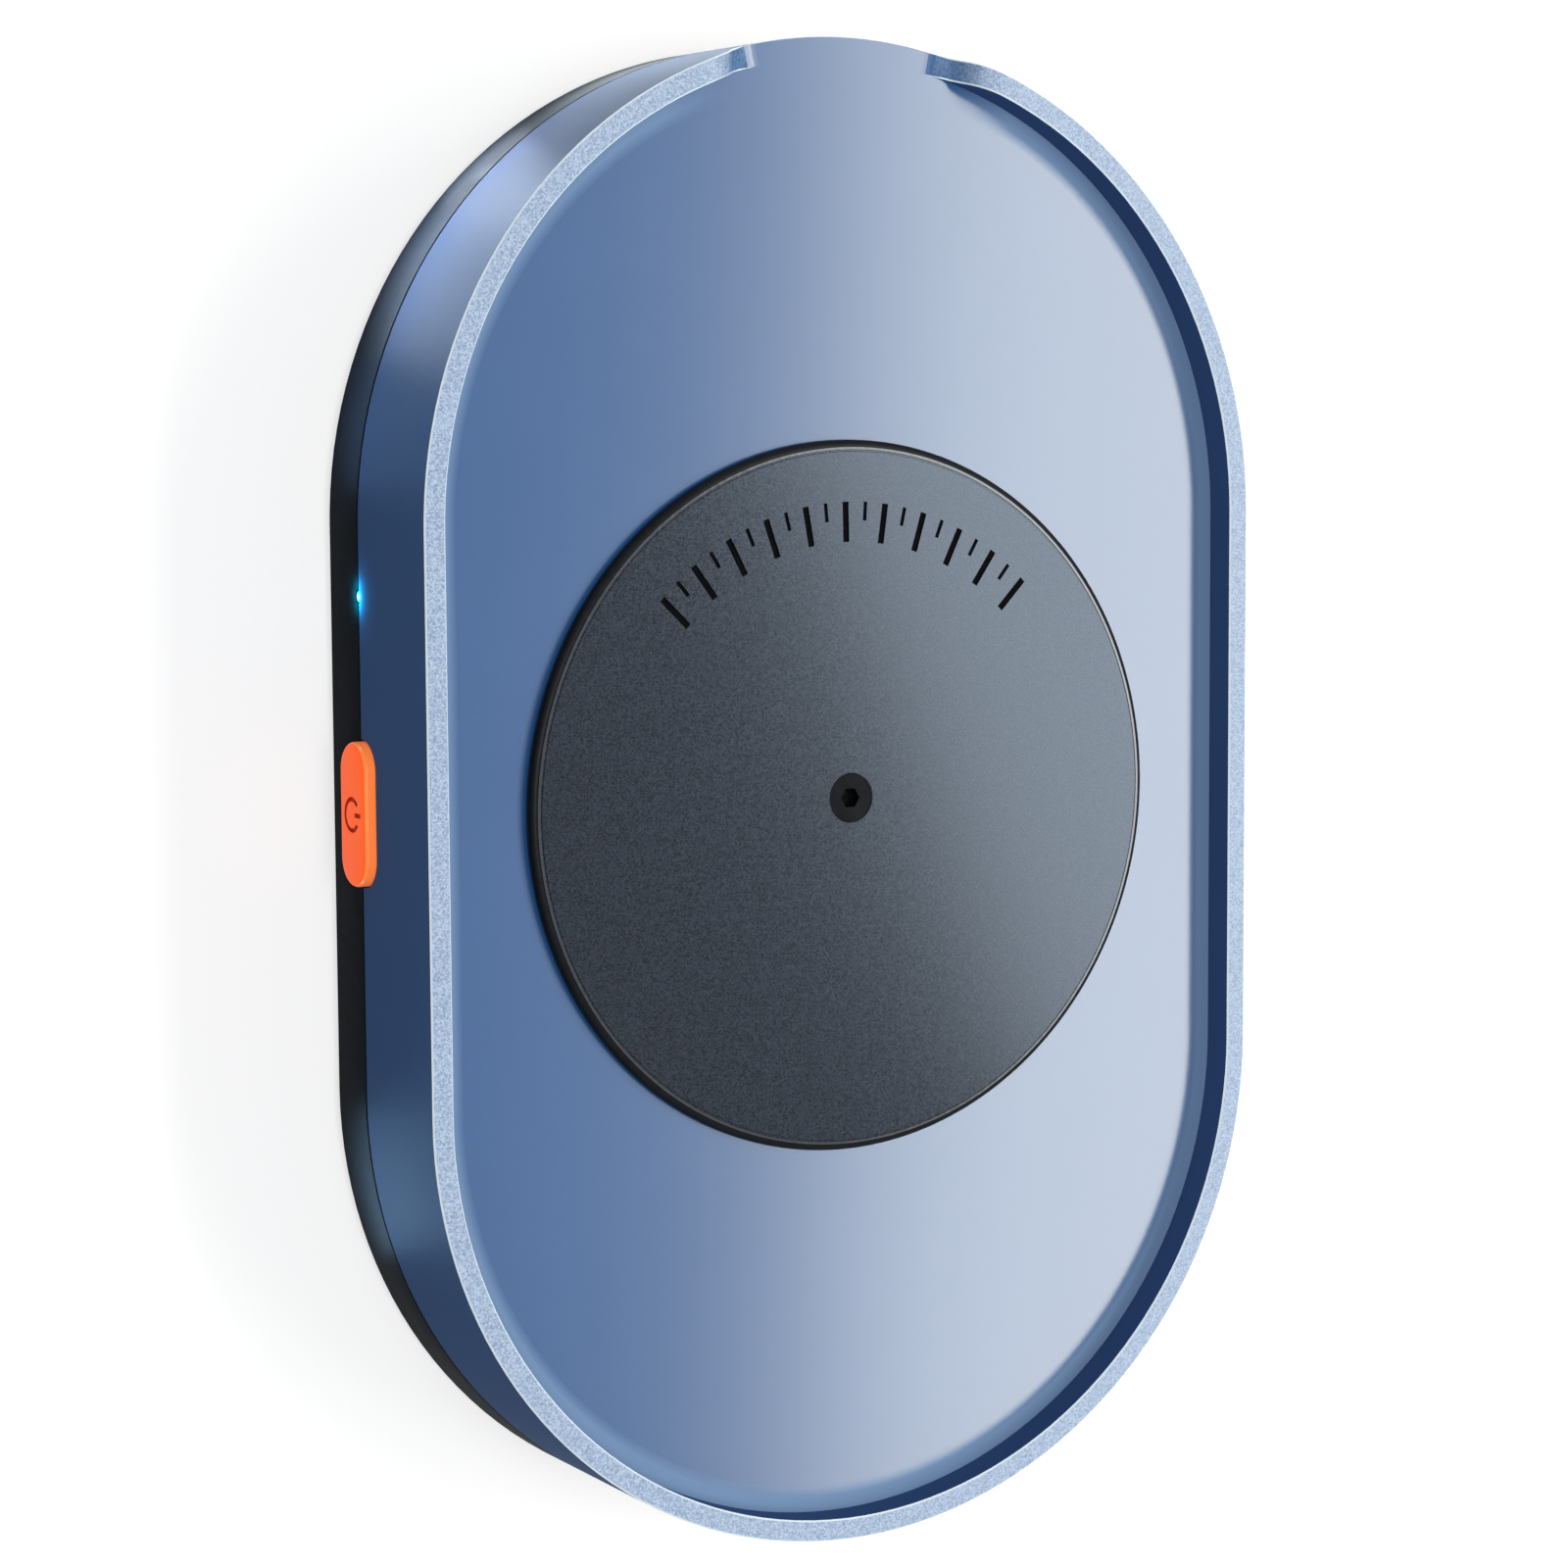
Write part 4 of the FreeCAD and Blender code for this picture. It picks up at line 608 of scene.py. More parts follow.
wall_blue = anodised_finish(
    "wall_blue",
    (0.050, 0.102, 0.235),
    (0.055, 0.110, 0.250),
    (0.50, 0.58),
    grain=3500,
    depth=0.000002,
    Specular_IOR_Level=0.006,
)
tray_blue = anodised_finish(
    "tray_blue",
    (0.022, 0.090, 0.252),
    (0.026, 0.095, 0.262),
    (0.17, 0.185),
    grain=2500,
    depth=0.0000004,
    IOR=1.6,
)

# Along the foot of the wall the tray's face gets a painted band of shade and reflection: a lighter,
# flat blue without sheen.
tray_tree = tray_blue.node_tree
tray_shader = tray_tree.nodes["Principled BSDF"]
painted_wall_band = painted_band_beside_wall(tray_tree)
polished = tray_shader.inputs["Base Color"].links[0].from_socket
painted_band_sheen = spread(tray_tree, painted_wall_band, 0.5, 0.0, 0.0, 1.0)
painted_band_dye = blend(tray_tree, painted_wall_band, polished, (0.175, 0.275, 0.455, 1))
feed(tray_tree, tray_shader, Base_Color=painted_band_dye, Specular_IOR_Level=painted_band_sheen)

# The rim keeps its blasted grain and is dyed lighter on its level top than down the ramps.
rim_blue, rim_tree, rim_shader = new_finish("rim_blue", Specular_IOR_Level=0.3)
sparkle = object_grains(rim_tree, 8000)
ramp_dye = two_tone(rim_tree, sparkle, (0.035, 0.085, 0.210), (0.110, 0.215, 0.410), 0.0, 1.0)
top_dye = two_tone(rim_tree, sparkle, (0.19, 0.27, 0.43), (0.45, 0.55, 0.72), 0.0, 1.0)
near_top = spread(rim_tree, object_parts(rim_tree)["Z"], 0.0, 1.0, 0.0168, 0.0187)
rim_dye = blend(rim_tree, near_top, ramp_dye, top_dye)
rim_roughness = spread(rim_tree, sparkle, 0.35, 0.5)
set_surface(rim_tree, rim_shader, rim_dye, rim_roughness, sparkle, 0.000001)

# The cut aluminium is pale, and it is made near white and almost without metal sheen so that each
# cut shows as a light line: partly painted glint.
cut_bright, cut_tree, cut_shader = new_finish("cut_bright", Metallic=0.1)
cutter_marks = object_noise(cut_tree, 900, detail=2, stretch=(1, 1, 12))
cut_tones_and_painted_glint = two_tone(cut_tree, cutter_marks, (0.80, 0.91, 1.0), (0.84, 0.93, 1.0))
cut_roughness = spread(cut_tree, cutter_marks, 0.25, 0.29)
set_surface(cut_tree, cut_shader, cut_tones_and_painted_glint, cut_roughness, cutter_marks, 0.0000003)

give_finishes(shell, wall_blue, tray_blue, rim_blue, cut_bright)
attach(shell, "housing")
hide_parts("top_shell")


# -------------------------------------------- bottom cover
# The lower half: black ABS, moulded, with a floor, a low wall with two locating lips, posts
# for the board and case screws, and pockets for the feet under its floor.
underside = 0.8
cover_edge = 0.5
seam_edge = 0.06
floor_top = 2.4
board_post, board_post_top = 1.9, 3.4
idler_post, idler_post_top = 2.2, 2.8
screw_bore = 1.15
head_room = 2.05
head_pocket_top = 2.4
foot_pocket, foot_pocket_top = 4.6, 1.4
board_post_places = [(13.5, 46.0), (-27.2, -5.0)]
foot_x, foot_y = 26, 30

SMOOTH_FINISH, GRAINED_FINISH = range(2)
cover_rings = [
    (stadium(end_radius - wall, floor_top), SMOOTH_FINISH),
    (stadium(end_radius - wall, seam), SMOOTH_FINISH),
    (stadium(end_radius - seam_edge, seam), SMOOTH_FINISH),
    (stadium(end_radius, seam - seam_edge), SMOOTH_FINISH),
    (stadium(end_radius, underside + cover_edge), SMOOTH_FINISH),
    (stadium(end_radius - 0.07, underside + 0.36), SMOOTH_FINISH),
    (stadium(end_radius - 0.36, underside + 0.07), GRAINED_FINISH),
    (stadium(end_radius - cover_edge, underside), GRAINED_FINISH),
]
cover = make_body("lower_cover", *zip(*cover_rings))


def round_posts(places, radius, low, high, steps=48):
    """A round post, or a tool for a round hole, at each place."""
    return [prism(round_outline(x, y, radius, steps), low, high) for x, y in places]


post_foot = floor_top - overlap
idler_place = [(0, idler_y)]
posts = round_posts(case_screw_places, case_post, post_foot, seam)
posts += round_posts(board_post_places, board_post, post_foot, board_post_top)
posts += round_posts(idler_place, idler_post, post_foot, idler_post_top)
posts += lips(lip_inner, lip_outer, lip_half_length, seam - 0.3, lip_top)
carve(cover, "UNION", posts)
bores = round_posts(case_screw_places, screw_bore, 0, 8)
bores += round_posts(board_post_places, small_bore, 1.4, 4.0, steps=32)
bores += round_posts(idler_place, idler_bore, 1.9, 3.5)
bores += round_posts(corners(foot_x, foot_y), foot_pocket, 0, foot_pocket_top, steps=96)
carve(cover, "DIFFERENCE", bores)
head_pockets = round_posts(case_screw_places, head_room, 0, head_pocket_top, steps=64)
carve(cover, "DIFFERENCE", head_pockets)
carve(cover, "DIFFERENCE", wall_openings())
tidy_mesh(cover.data)
smooth_by_angle(cover.data)


def moulded_finish(name, dark, light, roughness, grain=1800, depth=0.00001, **sockets):
    """Injection moulded plastic with a fine spark-eroded texture."""
    material, tree, shader = new_finish(name, **sockets)
    texture = object_noise(tree, grain, detail=3, roughness=0.6)
    handled = object_noise(tree, 45, detail=2)
    colour = two_tone(tree, texture, dark, light)
    set_surface(tree, shader, colour, spread(tree, handled, *roughness), texture, depth)
    return material


cover_black = moulded_finish(
    "cover_black",
    (0.006, 0.008, 0.011),
    (0.009, 0.012, 0.016),
    (0.46, 0.54),
    depth=0.000001,
    Specular_IOR_Level=0.006,
)
cover_grained = moulded_finish(
    "cover_grained",
    (0.016, 0.017, 0.018),
    (0.034, 0.035, 0.037),
    (0.55, 0.68),
    grain=2600,
    depth=0.00002,
)
give_finishes(cover, cover_black, cover_grained)
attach(cover, "housing")
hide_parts("bottom_cover")


# ----------------------------------------------- turntable
# The disc that turns under the mouse: charcoal plastic, moulded, with a rounded edge, a fine
# groove inside it and an arc of sunk scale marks. A hub under it sits in the tray's well.
disc_radius = 28.6
disc_top = 17.1
disc_under = 15.2
disc_rim_under = 16.25
under_break = 0.12
shoulder_width = 0.55
shoulder_drop = 0.6
fine_step = 0.06
hub_radius = 6.0
screw_hole = 1.02
seat_radius = 1.97
mark_depth = 0.12
marks_outer = 23.7


def turned_rings(profile, steps=240):
    """Rings about the Z axis from (radius, level) pairs."""
    return [[(x, y, z) for x, y in round_outline(0, 0, r, steps)] for r, z in profile]


def quarter_turn(steps):
    """The angles of a quarter of a circle, both ends included."""
    return [math.pi / 2 * step / steps for step in range(steps + 1)]


CHARCOAL, MARK, SHOULDER, LIP = range(4)
shoulder_foot = disc_top - fine_step - shoulder_drop
disc_profile = [
    (screw_hole, disc_under, CHARCOAL),
    (hub_radius, disc_under, CHARCOAL),
    (hub_radius, disc_rim_under, CHARCOAL),
    (disc_radius - under_break, disc_rim_under, SHOULDER),
    (disc_radius, disc_rim_under + under_break, SHOULDER),
]
disc_profile += [
    (
        disc_radius - shoulder_width + shoulder_width * math.cos(turn),
        shoulder_foot + shoulder_drop * math.sin(turn),
        SHOULDER if turn < math.pi / 2 else CHARCOAL,
    )
    for turn in quarter_turn(8)
]
disc_profile += [
    (28.03, disc_top, LIP),
    (27.84, disc_top, CHARCOAL),
    (27.80, disc_top - fine_step, CHARCOAL),
    (27.70, disc_top - fine_step, CHARCOAL),
    (27.66, disc_top, CHARCOAL),
    (seat_radius + 0.05, disc_top, CHARCOAL),
    (seat_radius, disc_top - 0.05, CHARCOAL),
    (seat_radius, disc_top - 0.15, CHARCOAL),
    (screw_hole, disc_top - 1.15, CHARCOAL),
]
disc_rings = turned_rings([(radius, level) for radius, level, _ in disc_profile])
disc = make_body("disc", disc_rings, [finish for _, _, finish in disc_profile], closed=True)


def new_geometry_tree(name, **inputs):
    """A geometry tree with a geometry input and output and named inputs of given kinds."""
    tree = bpy.data.node_groups.new(name, "GeometryNodeTree")
    tree.interface.new_socket("Geometry", in_out="INPUT", socket_type="NodeSocketGeometry")
    for label, kind in inputs.items():
        socket_type = "NodeSocket" + kind
        tree.interface.new_socket(label.replace("_", " "), in_out="INPUT", socket_type=socket_type)
    tree.interface.new_socket("Geometry", in_out="OUTPUT", socket_type="NodeSocketGeometry")
    return tree, add_node(tree, "NodeGroupInput").outputs


def finish_geometry_tree(tree, instances, **coat):
    """End the tree: real geometry in place of the instances, and its material."""
    real = add_node(tree, "GeometryNodeRealizeInstances", Geometry=instances)
    coated = add_node(tree, "GeometryNodeSetMaterial", Geometry=real.outputs["Geometry"], **coat)
    add_node(tree, "NodeGroupOutput", Geometry=coated.outputs["Geometry"])


def apply_tree(item, tree, values):
    """Run the tree on the object, and keep what it makes. Its inputs are given by name."""
    modifier = item.modifiers.new(tree.name, "NODES")
    modifier.node_group = tree
    inputs = {s.name: s.identifier for s in tree.interface.items_tree if s.in_out == "INPUT"}
    for name, value in values.items():
        modifier[inputs[name]] = value
    keep_result(item)


# The marks stand on an arc about the disc's axis, each turned to point at its middle.
marks_tree, marks_in = new_geometry_tree(
    "arc_of_marks",
    Count="Int",
    Sweep="Float",
    Turn="Float",
    Radius="Float",
    Mark_Size="Vector",
    Level="Float",
)
arc = add_node(
    marks_tree,
    "GeometryNodeCurveArc",
    Radius=marks_in["Radius"],
    Sweep_Angle=marks_in["Sweep"],
    Start_Angle=marks_in["Turn"],
    Resolution=marks_in["Count"],
)
points = add_node(
    marks_tree, "GeometryNodeCurveToPoints", {"mode": "EVALUATED"}, Curve=arc.outputs["Curve"]
)
bar = add_node(marks_tree, "GeometryNodeMeshCube", Size=marks_in["Mark Size"])
spot = add_node(marks_tree, "GeometryNodeInputPosition")
facing = add_node(
    marks_tree, "FunctionNodeAlignRotationToVector", {"axis": "X"}, Vector=spot.outputs["Position"]
)
stand = add_node(
    marks_tree,
    "GeometryNodeInstanceOnPoints",
    Points=points.outputs["Points"],
    Instance=bar.outputs["Mesh"],
    Rotation=facing.outputs["Rotation"],
)
height = add_node(marks_tree, "ShaderNodeCombineXYZ", Z=marks_in["Level"])
lifted = add_node(
    marks_tree,
    "GeometryNodeTransform",
    Geometry=stand.outputs["Instances"],
    Translation=height.outputs["Vector"],
)
finish_geometry_tree(marks_tree, lifted.outputs["Geometry"])

mark_bars = []
for count, length, width, start, sweep in ((11, 3.2, 0.55, 46, 90), (10, 1.5, 0.32, 50.5, 81)):
    holder = make_object("marks", bpy.data.meshes.new("marks"))
    apply_tree(
        holder,
        marks_tree,
        {
            "Count": count,
            "Sweep": math.radians(sweep),
            "Turn": math.radians(start),
            "Radius": (marks_outer - length / 2) * MM,
            "Mark Size": (length * MM, width * MM, 2 * mark_depth * MM),
            "Level": disc_top * MM,
        },
    )
    for polygon in holder.data.polygons:
        polygon.material_index = MARK
    mark_bars.append(holder.data)
    bpy.data.objects.remove(holder)

# The hole for the spindle's end is round with two flats, which drive the disc.
drive_radius = 2.01
drive_arc = [math.radians(angle) for angle in range(-48, 49, 6)]
drive_outline = [(drive_radius * math.cos(a), drive_radius * math.sin(a)) for a in drive_arc]
drive_outline += [(-x, -y) for x, y in drive_outline]
carve(disc, "DIFFERENCE", mark_bars + [prism(drive_outline, 14.8, 15.71)])
tidy_mesh(disc.data)
smooth_by_angle(disc.data)

disc_charcoal, charcoal_tree, charcoal_shader = new_finish(
    "disc_charcoal", IOR=1.58, Specular_IOR_Level=0.30, Specular_Tint=(0.68, 0.82, 1.0, 1)
)
skin = object_grains(charcoal_tree, 9000)
charcoal = two_tone(charcoal_tree, skin, (0.001, 0.001, 0.002), (0.026, 0.030, 0.040), 0.0, 1.0)
disc_roughness = spread(charcoal_tree, skin, 0.13, 0.17, 0.0, 1.0)
set_surface(charcoal_tree, charcoal_shader, charcoal, disc_roughness, skin, 0.0000004)
# The sunk scale marks are near black: painted shade in their recesses.
mark_painted_shade = moulded_finish(
    "mark_painted_shade", (0.002, 0.002, 0.003), (0.004, 0.004, 0.005), (0.5, 0.6), Specular_IOR_Level=0.01
)
# The disc's side and rounded edge get a darker, duller copy of the charcoal: painted shade.
shoulder_painted_shade = moulded_finish(
    "shoulder_painted_shade",
    (0.005, 0.006, 0.008),
    (0.008, 0.009, 0.011),
    (0.3, 0.4),
    Specular_IOR_Level=0.08,
)
lip_grey = moulded_finish(
    "lip_grey", (0.014, 0.016, 0.020), (0.026, 0.030, 0.036), (0.12, 0.18), Specular_IOR_Level=0.55
)
give_finishes(disc, disc_charcoal, mark_painted_shade, shoulder_painted_shade, lip_grey)
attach(disc, "turntable")
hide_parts("turntable_disc")

# The disc is lit by a softbox of its own, turned so that its sheen runs across at a slant.
disc_key = add_softbox("disc_softbox", (22, 53.2), 0.7, key_size, 9.4, (0.97, 0.99, 0.98))
for lamp, name, state in ((disc_key, "disc_only", "INCLUDE"), (key, "all_but_disc", "EXCLUDE")):
    receivers = bpy.data.collections.new(name)
    receivers.objects.link(disc)
    receivers.collection_objects[0].light_linking.link_state = state
    lamp.light_linking.receiver_collection = receivers


def threaded(low, high):
    """The profile of an M2 thread, drawn as rings: a groove at each pitch."""
    crest, root, pitch = 1.0, 0.84, 0.4
    profile = []
    level = low
    while level < high:
        profile += [(crest, level), (root, level + 0.1), (root, level + 0.14)]
        profile.append((crest, level + 0.24))
        level += pitch
    return profile


# The screw in the disc's middle: M2 countersunk with a hexagon socket, black oxide steel.
screw_profile = [(0.9, 11.95), (1.0, 12.05)] + threaded(12.15, 15.8)
screw_profile += [(1.0, 15.95), (1.91, 16.86), (1.95, 16.90), (1.93, 16.94), (1.88, 16.95)]
disc_screw = make_body("disc_screw_black", turned_rings(screw_profile, 96))
hexagon_across_flats = 1.5
hexagon = round_outline(0, 0, hexagon_across_flats / math.sqrt(3), 6)
carve(disc_screw, "DIFFERENCE", [prism(hexagon, 16.25, 17.5, index=1)])
smooth_by_angle(disc_screw.data)


def wear_mask(tree, size):
    """1 on convex edges, 0 elsewhere, from a bevelled normal of that radius."""
    bevel = add_node(tree, "ShaderNodeBevel", {"samples": 4}, Radius=size)
    surface = add_node(tree, "ShaderNodeNewGeometry")
    compare = add_node(tree, "ShaderNodeVectorMath", {"operation": "DOT_PRODUCT"})
    put(tree, compare.inputs[0], bevel.outputs["Normal"])
    put(tree, compare.inputs[1], surface.outputs["Normal"])
    return spread(tree, compare.outputs["Value"], 1.0, 0.0, 0.8, 0.98)


def steel_finish(name, dark, light, roughness, **sockets):
    """Plated or oxidised steel: faint mottle, turning marks and edges rubbed bright."""
    material, tree, shader = new_finish(name, **sockets)
    mottle = object_noise(tree, 700, detail=3)
    turning = object_noise(tree, 4000, detail=1, stretch=(0.2, 0.2, 1))
    base = two_tone(tree, mottle, dark, light)
    rubbed = (*(min(1.0, value * 1.6) for value in light), 1)
    colour = blend(tree, wear_mask(tree, 0.00005), base, rubbed)
    set_surface(tree, shader, colour, spread(tree, turning, *roughness), turning, 0.000002)
    return material


oxide_black = steel_finish(
    "oxide_black",
    (0.008, 0.009, 0.011),
    (0.012, 0.013, 0.016),
    (0.34, 0.46),
    Specular_IOR_Level=0.02,
)
# The hexagon socket is near black: painted shade in the hollow.
hex_socket_painted_shade = moulded_finish(
    "hex_socket_painted_shade", (0.002, 0.002, 0.002), (0.004, 0.004, 0.004), (0.6, 0.7), Specular_IOR_Level=0.02
)
give_finishes(disc_screw, oxide_black, hex_socket_painted_shade)
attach(disc_screw, "turntable")
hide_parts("disc_screw")


# --------------------------------------------- push button
# The on and off button: an orange moulded cap with a rounded front edge and a sunk power
# sign, held behind the wall by its flange.
cap_front = -38.95
cap_half_length, cap_half_height = 5.65, 2.3
cap_round = 0.4
flange_front, flange_back = -35.75, -34.95
flange_half_length, flange_half_height = 6.85, 2.9
sign_outer, sign_inner = 1.40, 1.05
sign_gap = math.radians(38)
sign_steps = 40
sign_depth = 0.22
bar_half_width, bar_low, bar_high = 0.18, 0.5, 1.6


def slot_ring(half_length, radius, x):
    """A slot outline about the button's middle, at a place along X."""
    return [(x, y, z) for y, z in slot_outline(0, button_z, half_length, radius, 32)]


CAP_FACE, SIGN, CAP_SIDE = range(3)
cap_rings = []
for turn in quarter_turn(6):
    inset = cap_round * (1 - math.sin(turn))
    x = cap_front + cap_round * (1 - math.cos(turn))
    cap_rings.append(slot_ring(cap_half_length - inset, cap_half_height - inset, x))
cap_rings += [
    slot_ring(cap_half_length, cap_half_height, flange_front),
    slot_ring(flange_half_length, flange_half_height, flange_front),
    slot_ring(flange_half_length, flange_half_height, flange_back),
]
cap_finishes = [CAP_FACE] * 3 + [CAP_SIDE] * 4 + [CAP_FACE] * 3
button = make_body("button_cap", cap_rings, cap_finishes)

sign_sweep = math.tau - 2 * sign_gap
sign_angles = [
    math.pi / 2 + sign_gap + sign_sweep * step / sign_steps for step in range(sign_steps + 1)
]
open_ring = [
    (radius * math.cos(angle), button_z + radius * math.sin(angle))
    for radius, angles in ((sign_outer, sign_angles), (sign_inner, sign_angles[::-1]))
    for angle in angles
]
upright_bar = box_outline(-bar_half_width, bar_half_width, button_z + bar_low, button_z + bar_high)
sign = [
    prism(outline, cap_front - 0.5, cap_front + sign_depth, "X", index=SIGN)
    for outline in (open_ring, upright_bar)
]
carve(button, "DIFFERENCE", sign)
smooth_by_angle(button.data)
cap_orange = moulded_finish(
    "cap_orange",
    (0.93, 0.115, 0.012),
    (1.0, 0.130, 0.015),
    (0.30, 0.38),
    grain=2500,
    depth=0.000001,
    Specular_IOR_Level=0.12,
    Emission_Color=(1.0, 0.10, 0.006, 1),
    Emission_Strength=0.50,
)
# The sunk power sign is a darker red: painted shade in its recess.
sign_painted_shade = moulded_finish(
    "sign_painted_shade",
    (0.30, 0.022, 0.006),
    (0.36, 0.030, 0.008),
    (0.4, 0.5),
    Specular_IOR_Level=0.1,
    Emission_Color=(0.30, 0.015, 0.004, 1),
    Emission_Strength=0.5,
)
# The cap's sides all round get a lighter copy of the orange. This is painted light, for the light
# that falls on the upper side.
cap_side_painted_light = moulded_finish(
    "cap_side_painted_light",
    (1.0, 0.235, 0.050),
    (1.0, 0.260, 0.060),
    (0.26, 0.32),
    grain=2500,
    depth=0.000001,
    Specular_IOR_Level=0.25,
    Emission_Color=(1.0, 0.20, 0.045, 1),
    Emission_Strength=0.4,
)
give_finishes(button, cap_orange, sign_painted_shade, cap_side_painted_light)
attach(button, "button")
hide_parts("power_button")


# -------------------------------------------- status light
# A clear acrylic light pipe whose domed end shows as a blue dot on the seam, with the block
# that takes the light from the board, and a weak lamp for the glow around the dot.
pipe_radius = 0.5
dome_depth = 0.18
pipe_back = -35.0
block_half = 1.3
block_low, block_top = 4.4, 7.325
glow_size = (0.0004, 0.0018)


def pipe_ring(radius, x):
    """A circle about the pipe's axis, at a place along X."""
    return [(x, y, z) for y, z in round_outline(pipe_y, pipe_z, radius, 32)]


dome_foot = dome_depth - end_radius
pipe_rings = [pipe_ring(0.02, -end_radius)]
for turn in quarter_turn(6)[1:]:
    ring_x = dome_foot - dome_depth * math.cos(turn)
    pipe_rings.append(pipe_ring(pipe_radius * math.sin(turn), ring_x))
pipe_rings.append(pipe_ring(pipe_radius, pipe_back))
pipe = make_body("pipe", pipe_rings)
block_outline = box_outline(-35.6, -33.8, pipe_y - block_half, pipe_y + block_half)
carve(pipe, "UNION", [prism(block_outline, block_low, block_top)])
smooth_by_angle(pipe.data)

# The glow is brightest at the dome's tip and fades to deep blue at the pipe's edge.
fades_per_metre = 1 / (pipe_radius * MM)
dome_tip = Vector((-end_radius, pipe_y, pipe_z)) * MM
pipe_glow, glow_tree, glow_shader = new_finish(
    "pipe_glow", Roughness=0.12, IOR=1.49, Emission_Strength=3.2
)
centred = add_node(
    glow_tree,
    "ShaderNodeMapping",
    Vector=object_place(glow_tree),
    Location=-dome_tip * fades_per_metre,
    Scale=(fades_per_metre, fades_per_metre, fades_per_metre),
)
falloff = add_node(
    glow_tree,
    "ShaderNodeTexGradient",
    {"gradient_type": "QUADRATIC_SPHERE"},
    Vector=centred.outputs["Vector"],
)
core = two_tone(glow_tree, falloff.outputs["Fac"], (0.0, 0.16, 0.85), (0.45, 0.85, 1.0), 0.1, 0.75)
feed(glow_tree, glow_shader, Emission_Color=core, Base_Color=core)
give_finishes(pipe, pipe_glow)
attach(pipe, "housing")
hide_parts("light_pipe")

glow = add_lamp("status_glow", *glow_size, 97.26, (0.0, 0.80, 1.0))
glow.rotation_euler = (0, -math.pi / 2, 0)
glow.location = (-0.0387, pipe_y * MM, (pipe_z - 0.15) * MM)
glow.visible_glossy = False


# ------------------------------------ feet and case screws
# Four black rubber pads in the cover's pockets, and four black M2 screws with cross recess
# that hold the two halves together from below. Both are made once and copied to corners.
corner_tree, corner_in = new_geometry_tree(
    "corner_pattern", Across="Float", Along="Float", Finish="Material"
)
grid = add_node(
    corner_tree,
    "GeometryNodeMeshGrid",
    Vertices_X=2,
    Vertices_Y=2,
    Size_X=corner_in["Across"],
    Size_Y=corner_in["Along"],
)
corner_copies = add_node(
    corner_tree,
    "GeometryNodeInstanceOnPoints",
    Points=grid.outputs["Mesh"],
    Instance=corner_in["Geometry"],
)
finish_geometry_tree(corner_tree, corner_copies.outputs["Instances"], Material=corner_in["Finish"])


def copy_to_corners(item, x, y, finish):
    """Make the piece into four, at plus and minus x and y."""
    apply_tree(item, corner_tree, {"Across": 2 * x * MM, "Along": 2 * y * MM, "Finish": finish})


foot_profile = [(0.9, 0.12), (1.1, 0.0), (3.0, 0.0), (3.12, 0.1), (3.3, 0.1), (3.42, 0.0)]
foot_profile += [(4.25, 0.0), (4.40, 0.05), (4.5, 0.2), (4.5, 1.35), (4.44, 1.4)]
feet = make_body("feet", turned_rings(foot_profile, 72))
smooth_by_angle(feet.data)
foot_black = moulded_finish(
    "foot_black",
    (0.010, 0.010, 0.010),
    (0.020, 0.020, 0.020),
    (0.75, 0.88),
    grain=1400,
    depth=0.00002,
)
copy_to_corners(feet, foot_x, foot_y, foot_black)
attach(feet, "housing")
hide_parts("rubber_feet")

case_profile = [(1.45, 1.2), (1.7, 1.26), (1.86, 1.42), (1.9, 1.6), (1.9, 2.36), (1.86, 2.4)]
case_profile += [(1.0, 2.4)] + threaded(2.9, 9.9) + [(1.0, 10.2), (0.8, 10.4)]
case_screws = make_body("case_screws_black", turned_rings(case_profile, 48))
arm_half_length, arm_half_width = 1.15, 0.22
for reach_x, reach_y in ((arm_half_length, arm_half_width), (arm_half_width, arm_half_length)):
    arm = prism(box_outline(-reach_x, reach_x, -reach_y, reach_y), 0.8, 1.9)
    carve(case_screws, "DIFFERENCE", [arm])
smooth_by_angle(case_screws.data)
copy_to_corners(case_screws, case_screw_x, case_screw_y, oxide_black)
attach(case_screws, "housing")
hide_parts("case_screws")


# -------------------------------------------- power socket
# A USB-C receptacle: a folded shell of nickel plated steel with a closed back, and in it a
# black tongue with two rows of gold plated contacts.
mouth = 59.95
shell_back = mouth - 7.35
inner_back = mouth - 7.05


def socket_ring(half_width, half_height, y):
    """A slot outline about the socket's axis, at a place along Y."""
    return [(x, y, z) for x, z in slot_outline(0, usb_z, half_width, half_height)]


# The rings run from the inner back out to the mouth, round its lip and back outside.
socket_rings = [
    socket_ring(4.17, 1.28, inner_back),
    socket_ring(4.17, 1.28, mouth - 0.06),
    socket_ring(4.23, 1.34, mouth),
    socket_ring(4.44, 1.55, mouth),
    socket_ring(4.47, 1.58, mouth - 0.04),
    socket_ring(4.47, 1.58, shell_back + 0.04),
    socket_ring(4.40, 1.51, shell_back),
]
socket = make_body("socket_shell", socket_rings)
smooth_by_angle(socket.data)
nickel = steel_finish("nickel", (0.58, 0.57, 0.55), (0.68, 0.67, 0.64), (0.18, 0.28), Metallic=1.0)
give_finishes(socket, nickel)
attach(socket, "housing")
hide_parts("usb_c_socket")

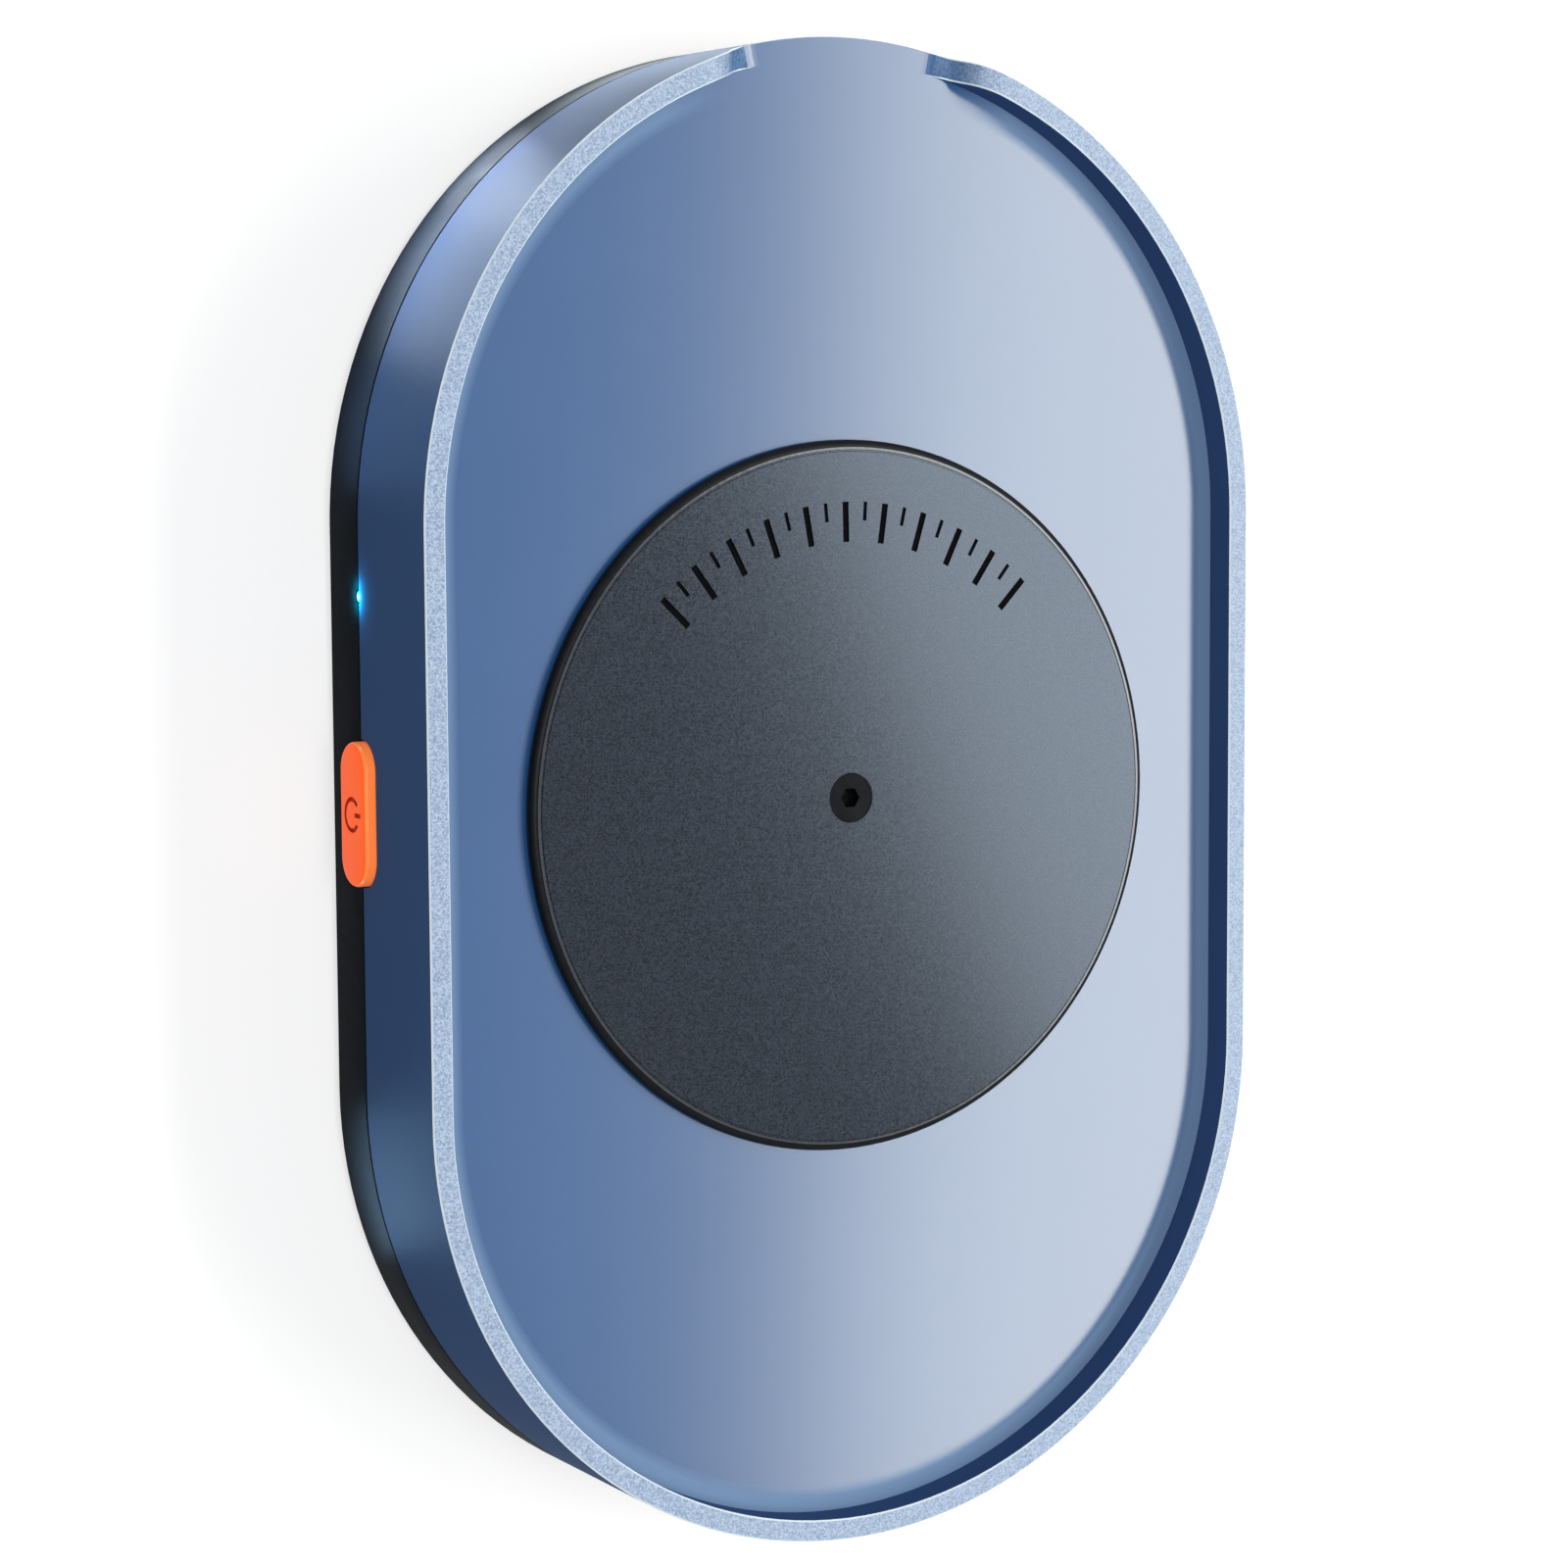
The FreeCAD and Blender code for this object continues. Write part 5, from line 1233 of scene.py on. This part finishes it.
# Two rows of flat contacts, one on each face of the tongue.
contact_tree, contact_in = new_geometry_tree(
    "contact_rows",
    Count="Int",
    Pitch="Float",
    Rows_Apart="Float",
    Contact_Size="Vector",
    Middle="Vector",
    Finish="Material",
)
pitches = compute(contact_tree, "SUBTRACT", contact_in["Count"], 1)
rows = add_node(
    contact_tree,
    "GeometryNodeMeshGrid",
    Vertices_X=contact_in["Count"],
    Vertices_Y=2,
    Size_X=compute(contact_tree, "MULTIPLY", pitches, contact_in["Pitch"]),
    Size_Y=contact_in["Rows Apart"],
)
upright = add_node(
    contact_tree,
    "GeometryNodeTransform",
    Geometry=rows.outputs["Mesh"],
    Rotation=(math.pi / 2, 0, 0),
    Translation=contact_in["Middle"],
)
pad = add_node(contact_tree, "GeometryNodeMeshCube", Size=contact_in["Contact Size"])
pads = add_node(
    contact_tree,
    "GeometryNodeInstanceOnPoints",
    Points=upright.outputs["Geometry"],
    Instance=pad.outputs["Mesh"],
)
finish_geometry_tree(contact_tree, pads.outputs["Instances"], Material=contact_in["Finish"])

gold = steel_finish("gold", (0.78, 0.52, 0.16), (0.90, 0.64, 0.24), (0.18, 0.26), Metallic=1.0)
contacts = make_object("socket_contacts", bpy.data.meshes.new("socket_contacts"))
apply_tree(
    contacts,
    contact_tree,
    {
        "Count": 12,
        "Pitch": 0.5 * MM,
        "Rows Apart": 0.7 * MM,
        "Contact Size": (0.26 * MM, 3.2 * MM, 0.06 * MM),
        "Middle": (0, 55.6 * MM, usb_z * MM),
        "Finish": gold,
    },
)
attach(contacts, "housing")


# --------------------------------------- pieces left as cut
# The pieces inside keep their CAD shapes. Each gets the finish that it has in the real thing:
# moulded nylon and acetal, glass epoxy board, plated steel, turned brass, sintered bronze.
def dress(finish, *names):
    """Put the finish on CAD nodes."""
    for name in names:
        mesh = nodes[name].data
        mesh.materials.clear()
        mesh.materials.append(finish)


board_green, board_tree, board_shader = new_finish("board_green", Coat_Weight=0.4)
tracks = add_node(
    board_tree,
    "ShaderNodeTexBrick",
    Vector=object_place(board_tree),
    Scale=260,
    Mortar_Size=0.06,
    Color1=(0.006, 0.075, 0.028, 1),
    Color2=(0.007, 0.085, 0.032, 1),
    Mortar=(0.012, 0.13, 0.05, 1),
)
board_dye, board_relief = tracks.outputs["Color"], tracks.outputs["Fac"]
board_roughness = spread(board_tree, object_noise(board_tree, 900), 0.28, 0.4)
set_surface(board_tree, board_shader, board_dye, board_roughness, board_relief, 0.00002)

zinc = steel_finish("zinc", (0.50, 0.51, 0.53), (0.62, 0.63, 0.65), (0.24, 0.36), Metallic=1.0)
brass = steel_finish("brass", (0.62, 0.44, 0.16), (0.74, 0.54, 0.22), (0.2, 0.3), Metallic=1.0)
bronze = steel_finish("bronze", (0.36, 0.22, 0.10), (0.48, 0.31, 0.15), (0.42, 0.55), Metallic=1.0)
epoxy = moulded_finish("epoxy", (0.016, 0.016, 0.017), (0.026, 0.026, 0.027), (0.5, 0.62))
nylon = moulded_finish("nylon", (0.70, 0.69, 0.64), (0.77, 0.76, 0.71), (0.38, 0.5))
acetal = moulded_finish(
    "acetal", (0.74, 0.74, 0.71), (0.80, 0.80, 0.77), (0.25, 0.36), grain=900, Subsurface_Weight=0.1
)
lead_grey = moulded_finish("lead_grey", (0.28, 0.29, 0.31), (0.34, 0.35, 0.37), (0.4, 0.5))
tongue_black = moulded_finish(
    "tongue_black", (0.012, 0.012, 0.013), (0.02, 0.02, 0.021), (0.35, 0.5)
)
dress(board_green, "circuit_board")
dress(zinc, "board_screws", "motor_can", "motor_screws", "motor_shaft", "idler_axle")
dress(zinc, "turntable_spindle", "spindle_clip")
dress(brass, "motor_pinion")
dress(bronze, "spindle_bush")
dress(epoxy, "controller_chip", "motor_driver_chip", "tact_switch")
dress(nylon, "motor_header", "switch_plunger", "status_led", "motor_terminal")
dress(acetal, "idler_gear", "turntable_gear", "thrust_washer")
dress(lead_grey, "motor_leads")
dress(tongue_black, "usb_c_tongue")
